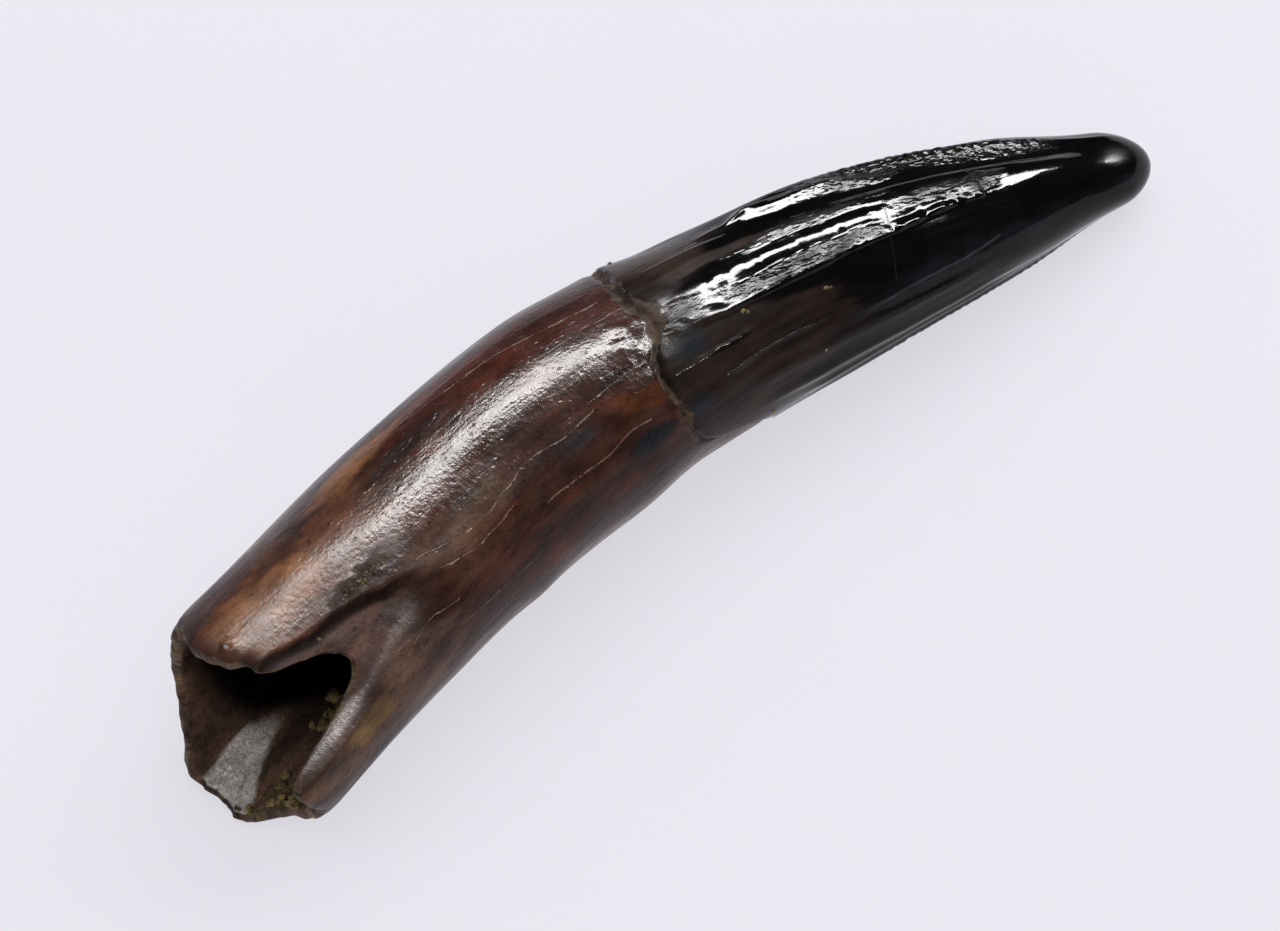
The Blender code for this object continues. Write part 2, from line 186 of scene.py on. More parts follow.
# Shallow dents and swellings of the skin, measured from the outline in the photograph
skinDents = (
    {"at": (2.4, 200), "reach": (2.6, 30), "height": -0.15},
    {"at": (7.7, 196), "reach": (0.65, 14), "height": 0.06},
    {"at": (10.0, 196), "reach": (1.6, 20), "height": -0.05},
    {"at": (13.4, 198), "reach": (1.3, 24), "height": -0.10},
    {"at": (21.4, 203), "reach": (3.8, 24), "height": -0.16},
    {"at": (26.0, 205), "reach": (1.6, 34), "height": -0.06},
    {"at": (2.0, 100), "reach": (2.6, 14), "height": -0.07},
    {"at": (10.2, 22), "reach": (1.8, 24), "height": 0.06},
    {"at": (13.9, 28), "reach": (0.8, 16), "height": 0.10},
    {"at": (24.8, 22), "reach": (2.2, 30), "height": 0.13},
    {"at": (25.4, 104), "reach": (1.2, 14), "height": 0.045},
    {"at": (9.0, 76), "reach": (4.0, 14), "height": -0.06},
)

# Rough lumps: the collar and the blister beside the seam, and the crust on the ledge
lumps = (
    {"at": (12.65, 100.0), "reach": (0.55, 12.0), "height": 0.080, "ragged": (0.045, 0.30, 65, 3)},
    {"at": (14.35, 103.0), "reach": (0.55, 8.0), "height": 0.030, "ragged": (0.036, 0.26, 66, 3)},
    {"at": (3.5, 104.0), "reach": (0.75, 4.2), "height": 0.050, "ragged": (0.100, 0.20, 73, 3)},
)

# Patches of the crown where the polish is lost and the enamel is finely wrinkled
etchedPatches = (
    {"at": (17.5, 105.5), "reach": (3.0, 5.5), "share": 1.0},
    {"at": (14.5, 103), "reach": (0.9, 9), "share": 0.8},
    {"at": (22.1, 95), "reach": (1.9, 11), "share": 1.0},
    {"at": (18.2, 82), "reach": (2.4, 5.0), "share": 0.6},
    {"at": (20.4, 64), "reach": (1.3, 6), "share": 0.6},
)

etching = {"ragged": (0.38, (0.30, 0.30, 0.9), 74, 3), "fade": (1.15, 0.6)}

# Where the whole top of the crown is faintly wrinkled, up to the black step
wrinkledTop = {
    "edge": ((14.0, 112.0), (20.0, 114.5), (25.0, 112.0)), "edgeWidth": (-1.0, 1.5),
    "risesRound": (44.0, 62.0), "rise": (14.0, 14.8), "fade": (24.6, 26.2),
}

skinGrain = {
    "root": ((0.013, (0.60, 0.60, 2.6), 62, 1), (0.006, (0.30, 0.30, 0.8), 63, 1), (0.0022, 0.16, 64, 1)),
    "rootEnds": (-0.3, 0.1), "crownStarts": (0.0, 0.5),     # mm past the edge of the enamel
    "wrinkles": ((1.0, (0.26, 0.26, 0.42), 67, 1), (0.45, (0.12, 0.12, 0.22), 68, 1)),
    "wrinkleDepth": 0.012, "topShare": 0.3,
    "calm": (0.25, (0.25, 0.25, 1.6), 69, 1),
    "pit": ((0.026, 0.30, 71, 3), (0.05, 1.1, 72, 1)),
}


def smoothStep(low, high, value):
    # 0 below low, 1 above high, k * k * (3 - 2k) between them
    k = np.clip((value - low) / (high - low), 0.0, 1.0)
    return k * k * (3.0 - 2.0 * k)


def between(value, rise, fade):
    # a smooth step up over the first span times a smooth step down over the second
    return smoothStep(*rise, value) * (1.0 - smoothStep(*fade, value))


def toward(value, goal, share):
    # the value moved by a share of the way to the goal
    return value + (goal - value) * share


def curveThrough(points, value):
    # cubic through given points, each slope the harmonic mean of its two neighbours',
    # so that it never overshoots between two of them
    xs, ys = np.array(points, dtype=float).T
    step = np.diff(xs)
    rise = np.diff(ys) / step
    product = rise[1:] * rise[:-1]
    slope = np.concatenate([rise[:1], np.zeros(len(product)), rise[-1:]])
    steady = np.flatnonzero(product > 0.0)
    slope[steady + 1] = 2.0 * product[steady] / (rise[1:] + rise[:-1])[steady]
    i = np.clip(np.searchsorted(xs, value) - 1, 0, len(step) - 1)
    k = np.clip((value - xs[i]) / step[i], 0.0, 1.0)
    return (ys[i] * (1 - k) ** 2 * (1 + 2 * k) + ys[i + 1] * k * k * (3 - 2 * k)
            + slope[i] * step[i] * k * (1 - k) ** 2 - slope[i + 1] * step[i] * k * k * (1 - k))


def latticeNoise(points, cell, seed):
    # random field from -1 to 1: a hashed value at every corner of a lattice, blended over
    # the cell by the smooth step of the distance to each of its eight corners
    scaled = points / np.asarray(cell, dtype=float)
    corner = np.floor(scaled).astype(np.int64)
    part = scaled - corner
    part = part * part * (3.0 - 2.0 * part)
    field = np.zeros(points.shape[:-1])
    for k in range(8):
        offset = np.array([k & 1, (k >> 1) & 1, k >> 2])
        key = (corner + offset) * np.array([73856093, 19349663, 83492791])
        mixed = (key[..., 0] ^ key[..., 1] ^ key[..., 2] ^ (seed * 2654435761)) & 0xFFFFFFFF
        mixed = ((mixed ^ (mixed >> 15)) * 2246822519) & 0xFFFFFFFF
        mixed = ((mixed ^ (mixed >> 13)) * 3266489917) & 0xFFFFFFFF
        weight = np.prod(np.where(offset == 1, part, 1.0 - part), axis=-1)
        field += weight * ((mixed >> 8) & 0xFFFF) / 32767.5
    return field - 1.0


def noiseAt(points, *layers):
    # sum of lattice noises; in each layer every further octave has half the cell and half the
    # height of the one before
    field = np.zeros(points.shape[:-1])
    for height, cell, seed, octaves in layers:
        for octave in range(octaves):
            size = np.asarray(cell, dtype=float) / 2 ** octave
            field += height * latticeNoise(points, size, seed + octave) / 2 ** octave
    return field


def turnedBy(angle, crest):
    # degrees past the crest, between -180 and 180
    return (angle - crest + 180.0) % 360.0 - 180.0


def ridgeAcross(angle, crest, before, after):
    # 1 on the crest, falling as a bell with its own width on each side
    away = turnedBy(angle, crest)
    return np.exp(-(away / np.where(away < 0.0, before, after)) ** 2)


def awayFrom(along, angle, oval):
    # distance from the middle of an oval, 1 on its outline
    at, reach = oval["at"], oval["reach"]
    return np.hypot((along - at[0]) / reach[0], turnedBy(angle, at[1]) / reach[1])


def spot(along, angle, oval):
    # 1 in the middle of an oval, falling as a bell
    return np.exp(-awayFrom(along, angle, oval) ** 2)


def centreLine(along):
    # the plan position is the running sum of cos and sin of the heading, which turns from
    # base to tip by a smooth step; it runs straight on beyond the base
    length = toothForm["length"]
    stations = np.linspace(0.0, length, toothForm["stations"])
    first, last = np.radians([toothForm["headingAtBase"], toothForm["headingAtTip"]])
    heading = toward(first, last, smoothStep(*toothForm["bend"], stations / length))
    middle = 0.5 * (heading[1:] + heading[:-1])
    x = np.concatenate([[0.0], np.cumsum(np.cos(middle)) * stations[1]])
    y = np.concatenate([[0.0], np.cumsum(np.sin(middle)) * stations[1]])
    beyond = np.minimum(along, 0.0)
    return (np.interp(along, stations, x) + beyond * np.cos(first),
            np.interp(along, stations, y) + beyond * np.sin(first),
            np.interp(along, stations, heading))


def taper(along):
    # the plain half width, read off its curve at a share of the length
    return curveThrough(toothForm["taper"], np.clip(along / toothForm["length"], 0.0, 1.0))


def grainAt(along, angle):
    # the place on the tooth if its centre line were straight, for patterns that follow it
    radius = taper(along)
    turn = np.radians(angle)
    return np.stack([radius * np.cos(turn), radius * np.sin(turn), along], -1)


def place(along, angle, radius):
    # the section stands across the centre line, its lowest plain point on the ground
    x, y, heading = centreLine(along)
    turn = np.radians(angle)
    sideways = radius * np.cos(turn)
    level = taper(along) * toothForm["heightToWidth"]
    upward = radius * np.sin(turn) * toothForm["heightToWidth"]
    return np.stack([x - np.sin(heading) * sideways, y + np.cos(heading) * sideways,
                     level + upward], -1)


def calmRim(angle):
    # 1 where the rim is freshly broken, less on its worn lips
    calm = sum(np.exp(-(turnedBy(angle, at) / reach) ** 2) for at, reach in brokenBase["calmRim"])
    return 1.0 - brokenBase["calmShare"] * np.clip(calm, 0.0, 1.0)


def rimAt(angle):
    # the broken edge: its drawn outline plus two sizes of chips
    ring = grainAt(np.zeros_like(angle), angle)
    chips = calmRim(angle) * noiseAt(ring, *brokenBase["chips"])
    return curveThrough(brokenBase["rim"], angle % 360.0) + chips


def enamelEdgeAt(angle):
    # the drawn edge of the enamel plus a small waver
    ring = grainAt(np.full_like(angle, enamelEdge["waverAt"]), angle)
    return curveThrough(enamelEdge["line"], angle % 360.0) + noiseAt(ring, enamelEdge["waver"])


def ledgeAt(along):
    # the ledge's angle, with a little unevenness
    line = np.stack([along, np.zeros_like(along), np.zeros_like(along)], -1)
    return curveThrough(brokenBase["ledge"], along) + noiseAt(line, brokenBase["ledgeWaver"])


def pitShare(along, angle):
    # 1 on the floor of the hollow round the notch: steep under the ledge, soft at its shoulder
    ledge, top = ledgeAt(along), brokenBase["pitTop"]
    foot, brow = (curveThrough(brokenBase[side], along) for side in ("shoulderFoot", "shoulderBrow"))
    across = between(angle, (ledge, ledge + brokenBase["ledgeWidth"]), (foot, brow))
    return across * (1.0 - smoothStep(top - brokenBase["pitRunOut"], top, along))


def creviceShare(along, angle):
    # 1 in the groove that runs along the foot of the ledge
    crest = ledgeAt(along) + brokenBase["ledgeWidth"] + brokenBase["creviceBeyond"]
    return (between(along, brokenBase["creviceRise"], brokenBase["creviceFade"])
            * ridgeAcross(angle, crest, *brokenBase["creviceWidths"]))


def wrinkleShare(along, angle):
    # 1 on the top of the crown, falling to 0 round it and at its ends
    edge = np.interp(along, *np.transpose(wrinkledTop["edge"]))
    low, high = wrinkledTop["edgeWidth"]
    return (between(angle, wrinkledTop["risesRound"], (edge + low, edge + high))
            * between(along, wrinkledTop["rise"], wrinkledTop["fade"]))


def etchedShare(along, angle, grain):
    # 1 on the etched patches: ovals whose outline is moved about by noise
    ragged = noiseAt(grain, etching["ragged"])
    share = np.zeros_like(along)
    for patch in etchedPatches:
        away = awayFrom(along, angle, patch) + ragged
        share = np.maximum(share, patch["share"] * smoothStep(*etching["fade"], away))
    return share


def ridgeHeights(along, angle, grain):
    # each ridge follows its own path with a small waver, rises over its run in and dies
    # over its run out; the far side has even ridges of two heights in turn
    height = np.zeros_like(along)
    waver, rough, beads = (noiseAt(grain, ridgeWander[kind]) for kind in ("waver", "rough", "beads"))
    for ridge in crownRidges:
        start, end = ridge["path"][0][0], ridge["path"][-1][0]
        crest = curveThrough(ridge["path"], along) + waver
        span = between(along, (start, start + ridge["runIn"]), (end - ridge["runOut"], end))
        beaded = 1.0 + np.sign(ridge["beads"]) * rough + ridge["beads"] * beads
        across = ridgeAcross(angle, crest, ridge["before"], ridge["after"])
        height += ridge["height"] * span * beaded * across
    even, width = between(along, evenRidges["rise"], evenRidges["fade"]), evenRidges["width"]
    for number, crest in enumerate(np.arange(*evenRidges["angles"])):
        tall = evenRidges["heights"][number % 2]
        height += tall * even * ridgeAcross(angle, crest + waver, width, width)
    return height


def carinaHeights(along, angle):
    # two cutting edges as bells round their paths, and the hollow beside the outer one
    near, far = carinae["widths"]
    outer = ridgeAcross(angle, curveThrough(carinae["outer"], along), near, far)
    inner = ridgeAcross(angle, curveThrough(carinae["inner"], along), near, near)
    under = ridgeAcross(angle, curveThrough(carinae["under"], along), *carinae["underWidths"])
    edges = carinae["outerHeight"] * outer + carinae["innerHeight"] * inner
    return (between(along, carinae["rise"], carinae["fade"]) * edges
            - carinae["underDepth"] * between(along, carinae["underRise"], carinae["underFade"]) * under)


def crenulationHeights(along, angle, grain):
    # beads on the cutting edges: a sine of the distance along, broken by noise
    phase = 2 * np.pi * along / crenulations["period"] + noiseAt(grain, crenulations["jitter"])
    beads = np.sin(phase) + noiseAt(grain, crenulations["uneven"])
    beads = beads * (crenulations["strength"] + noiseAt(grain, crenulations["patchy"]))
    outerCrest = curveThrough(carinae["outer"], along) + crenulations["aside"]
    band = ridgeAcross(angle, outerCrest, *crenulations["outerWidths"])
    inner = ridgeAcross(angle, curveThrough(carinae["inner"], along), *crenulations["innerWidths"])
    band = band + crenulations["innerShare"] * inner
    span = between(along, crenulations["rise"], crenulations["fade"])
    return crenulations["height"] * span * band * beads


def seamHeights(along, pastEdge, grain):
    # the enamel's step, which merges with the crown towards the tip, less an uneven groove
    step = enamelEdge["thickness"] * smoothStep(0.0, enamelEdge["stepWidth"], pastEdge)
    groove = enamelEdge["groove"] * np.exp(-(pastEdge / enamelEdge["grooveWidth"]) ** 2)
    groove = groove * (enamelEdge["grooveShare"] + noiseAt(grain, enamelEdge["grooveUneven"]))
    return step * (1.0 - smoothStep(*enamelEdge["merges"], along)) - groove


def skinHeights(along, angle, pastEdge, grain):
    # sines round and along the root, its long grain, and the wrinkles of the enamel
    swell = sum(height * np.sin(lobes * np.radians(angle) + along / run)
                for height, lobes, run in toothForm["swellings"])
    swell = swell * (1.0 - smoothStep(*toothForm["swellingsFade"], along))
    root = (1.0 - smoothStep(*skinGrain["rootEnds"], pastEdge)) * noiseAt(grain, *skinGrain["root"])
    where = skinGrain["topShare"] * wrinkleShare(along, angle) + etchedShare(along, angle, grain)
    wrinkles = where * noiseAt(grain, *skinGrain["wrinkles"]) + noiseAt(grain, skinGrain["calm"])
    crown = smoothStep(*skinGrain["crownStarts"], pastEdge) * skinGrain["wrinkleDepth"] * wrinkles
    return swell + root + crown


def noduleHeight(along, angle):
    # a low button with a flat top, less the dimple in its middle
    at, (deep, wide) = brokenBase["noduleAt"], brokenBase["noduleDimple"]
    aside = np.radians(turnedBy(angle, at[1])) * brokenBase["noduleFromAxis"]
    away = np.hypot(along - at[0], aside) / brokenBase["noduleRadius"]
    return brokenBase["noduleHeight"] * (np.exp(-away ** 4) - deep * np.exp(-(away / wide) ** 2))


def skinRadius(along, angle, grain):
    # the whole outside: taper plus everything raised on it, less everything sunk in it, never
    # thinner than the thinnest wall, and drawn in to a round nose at the tip
    pastEdge = along - enamelEdgeAt(angle)
    pit = pitShare(along, angle)
    dents = sum(dent["height"] * spot(along, angle, dent) for dent in skinDents)
    rough = sum(spot(along, angle, lump) * (lump["height"] + noiseAt(grain, lump["ragged"]))
                for lump in lumps)
    fromRim = np.maximum(along - rimAt(angle), 0.0)
    rolled = brokenBase["rolledEdge"] * np.exp(-fromRim / brokenBase["rolledEdgeWidth"])
    sunk = brokenBase["pitDepth"] * pit + brokenBase["crevice"] * creviceShare(along, angle)
    radius = (taper(along) + seamHeights(along, pastEdge, grain)
              + skinHeights(along, angle, pastEdge, grain) + dents * (1.0 - pit) + rough
              + ridgeHeights(along, angle, grain) + carinaHeights(along, angle)
              + crenulationHeights(along, angle, grain) - sunk + pit * noiseAt(grain, *skinGrain["pit"])
              - rolled * (1.0 - brokenBase["lessRolledInPit"] * pit) + noduleHeight(along, angle))
    upTo = brokenBase["thinWallUpTo"]
    thinnest = cavityRadius(np.minimum(along, upTo), angle, grain) + brokenBase["thinnestWall"]
    radius = np.where(along < upTo, np.maximum(radius, thinnest), radius)
    nose = toothForm["nose"]
    q = np.clip((along - (toothForm["length"] - nose)) / nose, 0.0, 1.0)
    return radius * np.sqrt(1.0 - q * q)


def cavityRadius(along, angle, grain):
    # the pulp cavity narrows to a rounded end; low ribs, one sharp ridge and a pitted
    # roughness stand on its wall
    deep = np.clip(along / pulpCavity["depth"], 0.0, 1.0)
    ribs = sum(ridgeAcross(angle, crest, width, width) for crest, width in pulpCavity["ribs"])
    crest = curveThrough(pulpCavity["facetRidge"], along)
    sharp = (ridgeAcross(angle, crest, *pulpCavity["facetRidgeWidths"])
             * (1.0 - smoothStep(*pulpCavity["facetRidgeFade"], along)))
    inside = (taper(along) - pulpCavity["wallAtRim"] - pulpCavity["ribHeight"] * ribs
              - pulpCavity["facetRidgeHeight"] * sharp + noiseAt(grain, *pulpCavity["roughness"]))
    narrowing, rounding = pulpCavity["closes"]
    return inside * (1.0 - deep ** narrowing) ** rounding


meshPlan = {
    "columns": ((18.0, 222.0, 250), (222.0, 378.0, 80)),     # from, to, how many
    "rootSpacing": ((0.40, 0.04), (4.40, 0.12), (7.60, 0.30), (0.70, 0.10), (0.40, 0.05)),
    "crownSpacing": ((0.36, 0.045), (4.92, 0.12), (6.45, 0.075), (1.20, 0.12)),   # length, step
    "crownLength": 14.3, "tipRings": 16,
    "wallRings": 6, "wallBulge": 0.07, "wallRagged": (0.05, 0.26, 91, 3), "calmBulge": 0.3,
    "cavitySpacing": ((1.2, 0.11), (2.4, 0.24), (7.0, 1.0)),
    "ledgeColumn": 100.8, "leanFrom": 50.0, "leanTo": 190.0, "leanEnds": 9.0, "leanRounds": 6,
}


def fractionsOf(spacing, whole=None):
    # running fractions of a length that is cut into steps of several sizes
    steps = np.concatenate([np.full(int(round(length / step)), step) for length, step in spacing])
    marks = np.concatenate([[0.0], np.cumsum(steps)])
    return marks / (whole or marks[-1])


def lean(along, column):
    # the angle of a mesh column: beside the ledge it leans over to keep to the ledge
    middle = meshPlan["ledgeColumn"]
    pull = curveThrough(brokenBase["ledge"], along) - middle
    pull = pull * (1.0 - smoothStep(brokenBase["pitTop"], meshPlan["leanEnds"], along))
    behind = (middle + brokenBase["ledgeWidth"], meshPlan["leanTo"])
    return column + pull * between(column, (meshPlan["leanFrom"], middle), behind)


def wallRings(rim, edge, outer, inner):
    # rings across the broken wall, bulging by half a sine that noise makes uneven
    for share in np.linspace(0.0, 1.0, meshPlan["wallRings"] + 2)[1:-1]:
        radius = toward(outer, inner, share)
        turn = np.radians(edge)
        across = np.stack([radius * np.cos(turn), radius * np.sin(turn), rim], -1)
        thick = np.clip((outer - inner) / pulpCavity["wallAtRim"], 0.1, 1.0)
        ragged = meshPlan["wallBulge"] + noiseAt(across, meshPlan["wallRagged"])
        bulge = np.sin(np.pi * share) * thick * ragged
        yield rim - bulge * toward(meshPlan["calmBulge"], 1.0, calmRim(edge)), edge, radius, 2


def toothRings():
    # all rings from the tip down the skin, over the broken rim and up the cavity, as arrays of
    # along and angle, with a radius and a region: 0 crown, 1 root, 2 broken wall, 3 cavity
    column = np.concatenate([np.linspace(a, b, n, endpoint=False) for a, b, n in meshPlan["columns"]])
    edge = column
    for _ in range(meshPlan["leanRounds"]):
        edge = lean(rimAt(edge), column)
    rim, cervix, length = rimAt(edge), enamelEdgeAt(column), toothForm["length"]
    rings = []

    body = fractionsOf(meshPlan["crownSpacing"], meshPlan["crownLength"])
    tip = np.sin(np.linspace(0.0, np.pi / 2, meshPlan["tipRings"] + 1)[1:-1])
    for fraction in np.concatenate([body, toward(body[-1], 1.0, tip)])[::-1]:
        along = toward(cervix, length, fraction)
        rings.append((along, column, skinRadius(along, column, grainAt(along, column)), 0))
    for fraction in fractionsOf(meshPlan["rootSpacing"])[:-1][::-1]:
        along = toward(rim, cervix, fraction)
        angle = lean(along, column)
        rings.append((along, angle, skinRadius(along, angle, grainAt(along, angle)), 1))

    grain = grainAt(rim, edge)
    rings.extend(wallRings(rim, edge, skinRadius(rim, edge, grain), cavityRadius(rim, edge, grain)))
    for fraction in fractionsOf(meshPlan["cavitySpacing"])[:-1]:
        along = toward(rim, pulpCavity["depth"], fraction)
        rings.append((along, edge, cavityRadius(along, edge, grainAt(along, edge)), 3))
    return rings


# Stains of the root: soft ovals at a place (along, angle) with a reach in mm and degrees, then
# clouds and streaks, then the inky patches
rootStains = {
    "plain": (60, 36, 28), "zoneSeed": 140, "inkySeed": 330,
    "zones": (
        {"at": (10.4, 64), "reach": (5.0, 32), "tone": (80, 40, 30), "strength": 0.85, "ragged": 0.45},
        {"at": (5.0, 100), "reach": (7.0, 34), "tone": (84, 56, 43), "strength": 0.7, "ragged": 0.40},
        {"at": (2.6, 78), "reach": (5.0, 26), "tone": (112, 70, 45), "strength": 0.85, "ragged": 0.40},
        {"at": (1.5, 82), "reach": (2.4, 17), "tone": (136, 92, 60), "strength": 0.75, "ragged": 0.40},
        {"at": (5.9, 51), "reach": (1.5, 10), "tone": (134, 90, 56), "strength": 0.8, "ragged": 0.50},
        {"at": (2.8, 52), "reach": (2.6, 8), "tone": (82, 50, 40), "strength": 0.6, "ragged": 0.45},
        {"at": (6.6, 70), "reach": (2.6, 7), "tone": (52, 34, 29), "strength": 0.8, "ragged": 0.45},
        {"at": (8.6, 112), "reach": (3.4, 10), "tone": (52, 36, 31), "strength": 0.75, "ragged": 0.50},
        {"at": (6.2, 122), "reach": (2.2, 10), "tone": (104, 78, 62), "strength": 0.75, "ragged": 0.55},
        {"at": (6.6, 137), "reach": (2.4, 11), "tone": (74, 56, 44), "strength": 0.7, "ragged": 0.55},
        {"at": (12.1, 131), "reach": (1.3, 11), "tone": (94, 52, 28), "strength": 0.75, "ragged": 0.80},
        {"at": (9.0, 174), "reach": (6.0, 26), "tone": (50, 31, 27), "strength": 0.9, "ragged": 0.30},
        {"at": (10.0, 126), "reach": (0.9, 7), "tone": (56, 50, 50), "strength": 0.7, "ragged": 0.60},
        {"at": (1.4, 166), "reach": (3.6, 19), "tone": (88, 64, 50), "strength": 0.85, "ragged": 0.40},
        {"at": (1.4, 161), "reach": (0.8, 8), "tone": (128, 98, 58), "strength": 0.8, "ragged": 0.60},
        {"at": (3.2, 148), "reach": (1.6, 8), "tone": (118, 90, 74), "strength": 0.75, "ragged": 0.50},
        {"at": (-0.7, 164), "reach": (0.55, 6), "tone": (132, 98, 72), "strength": 0.8, "ragged": 0.30},
        {"at": (12.4, 98), "reach": (0.9, 13), "tone": (92, 70, 62), "strength": 0.5, "ragged": 0.45},
        {"at": (6.0, 250), "reach": (6.0, 40), "tone": (84, 58, 44), "strength": 0.7, "ragged": 0.45},
        {"at": (8.0, 330), "reach": (6.5, 36), "tone": (76, 44, 34), "strength": 0.8, "ragged": 0.45},
        {"at": (3.0, 15), "reach": (4.2, 26), "tone": (108, 76, 56), "strength": 0.7, "ragged": 0.45},
    ),
    "clouds": {"tone": (38, 25, 22), "strength": 0.42, "fade": (-0.1, 0.7),
               "noise": (1.0, (0.8, 0.8, 1.9), 135, 4)},
    "streaks": {"tone": (92, 44, 30), "strength": 0.35, "fade": (0.1, 0.7),
                "noise": (1.0, (0.3, 0.3, 1.4), 139, 3)},
    "streaksRise": (3.0, 8.0),
    "inky": (
        {"at": (11.9, 151), "reach": (1.1, 9.0), "tone": (21, 22, 26), "strength": 1.0, "ragged": 0.18},
        {"at": (10.1, 127), "reach": (0.5, 3.0), "tone": (38, 38, 42), "strength": 0.7, "ragged": 0.4},
    ),
    "lipShade": (58, 37, 29), "lipShare": 0.8,          # the rolled lip at the rim
    "lipWidth": (0.12, 0.42), "lipRound": ((0.0, 40.0), (96.0, 100.0)), "lipRagged": (0.12, 0.4, 134, 1),
}

rootFeel = {
    "polish": 0.23, "uneven": (0.05, (0.5, 0.5, 1.5), 138, 1),
    "dullBase": 0.12, "dullUpTo": (1.5, 6.5),
    "pit": 0.66, "wall": 0.80, "fill": 0.85,          # polish of these places
    "lip": 0.10, "paleStripAndSheen": -0.30,                      # added to it
    "grit": 0.05, "gritOfPit": 0.28, "gritOfStrip": 0.55, "gritOfCrust": 0.5, "gritOfFill": 0.6,
}

pitStains = {
    "floor": (94, 66, 55), "floorShares": (0.92, 0.276),    # at the base and at the upper end
    "upper": (80, 54, 42), "upperShare": 0.5, "upperRise": (2.6, 4.8),
    "shade": {"tone": (28, 19, 15), "strength": 0.40, "fade": (-0.1, 0.6),
              "noise": (1.0, (0.45, 0.45, 0.8), 144, 3)},
    "paleStripAndSheen": (146, 136, 130), "stripShare": 0.85,     # bare, grainy band on the inner side, pale in its own grey and with a painted highlight
    "stripPath": ((-0.8, 152.5), (0.2, 151.0), (1.0, 149.5), (2.0, 147.0), (3.0, 141.0), (4.2, 134.0)),
    "stripWidths": (3.2, 5.6), "stripWidens": (1.4, 3.4), "stripAbove": 0.55,
    "stripEnd": (3.0, 4.6), "stripRagged": (0.5, 0.5, 136, 1), "stripInPit": (0.2, 0.7),
    "deep": (28, 19, 15), "paintedShadeShares": (0.85, 0.9),  # painted shade in the crevice and on the ledge's wall
    "wallAcross": ((0.2, 1.4), (4.5, 9.5)), "wallEnd": (3.6, 4.8), "wallRagged": (1.2, 0.3, 143, 1),
    "crust": (50, 44, 32), "crustPlace": {"at": (3.5, 103.5), "reach": (0.95, 5.5)},
    "crustNoise": (1.0, 0.22, 137, 3), "crustFade": (-0.5, 0.3),
}

enamelStains = {
    "plain": (13, 12, 13), "zoneSeed": 160,
    "brown": (46, 36, 31), "brownShare": 0.75, "brownStreaks": (0.35, (0.12, 0.12, 1.4), 152, 3),
    "brownFade": (-0.5, 0.35), "brownRagged": (0.9, (0.22, 0.22, 2.4), 151, 3),
    "brownEdge": ((0, 15.6), (40, 16.4), (72, 16.4), (92, 15.0), (104, 14.8), (116, 16.2),
                  (130, 18.3), (150, 18.9), (158, 18.7), (165, 17.4), (176, 16.5), (188, 15.7),
                  (200, 16.0), (300, 15.4), (360, 15.6)),
    "zones": (
        {"at": (14.6, 58), "reach": (1.9, 20), "tone": (58, 45, 39), "strength": 0.9, "ragged": 0.40},
        {"at": (15.8, 78), "reach": (2.4, 5), "tone": (76, 66, 62), "strength": 0.7, "ragged": 0.45},
        {"at": (18.4, 83), "reach": (2.2, 3.6), "tone": (62, 58, 58), "strength": 0.6, "ragged": 0.55},
        {"at": (14.0, 118.5), "reach": (0.75, 9.0), "tone": (31, 35, 39), "strength": 0.95, "ragged": 0.25},
        {"at": (13.5, 150), "reach": (0.6, 8.0), "tone": (31, 34, 38), "strength": 0.95, "ragged": 0.25},
        {"at": (14.4, 103), "reach": (0.8, 9.0), "tone": (44, 42, 42), "strength": 0.6, "ragged": 0.30},
        {"at": (14.9, 128), "reach": (0.9, 3.0), "tone": (16, 12, 10), "strength": 0.8, "ragged": 0.40},
        {"at": (21.5, 147), "reach": (6.0, 16), "tone": (27, 27, 31), "strength": 0.8, "ragged": 0.45},
    ),
}

enamelFeel = {
    "polish": 0.08, "etched": 0.40, "brown": 0.10, "band": 0.16, "tip": 0.25, "fill": 0.85,
    "uneven": (0.5, (0.20, 0.20, 0.5), 153, 3), "unevenSpan": (0.45, 1.0),
    "bandAside": 7.5, "bandWidths": (8.0, 10.0), "bandRise": (18.2, 19.2), "bandFade": (25.0, 26.2),
    "tipWorn": {"at": (27.2, 104), "reach": (0.5, 16)},
    "grit": 0.012, "gritOfEtched": 0.60, "gritOfBand": 0.95, "gritOfFill": 0.6,
}

# Hardened sediment in the seam between enamel and root
matrixFill = {
    "tone": (84, 68, 56),
    "shade": {"tone": (36, 27, 22), "strength": 0.8, "fade": (-0.1, 0.5), "noise": (1.0, 0.22, 132, 3)},
    "width": ((0, 0.05), (30, 0.06), (60, 0.08), (76, 0.14), (86, 0.30), (100, 0.30), (107, 0.17),
              (118, 0.09), (150, 0.10), (168, 0.09), (178, 0.04), (200, 0.04), (360, 0.05)),
    "wideFrom": (0.2, 0.34), "wideAside": 0.12, "ragged": (0.09, 0.26, 131, 3), "edge": (0.65, 1.05),
}

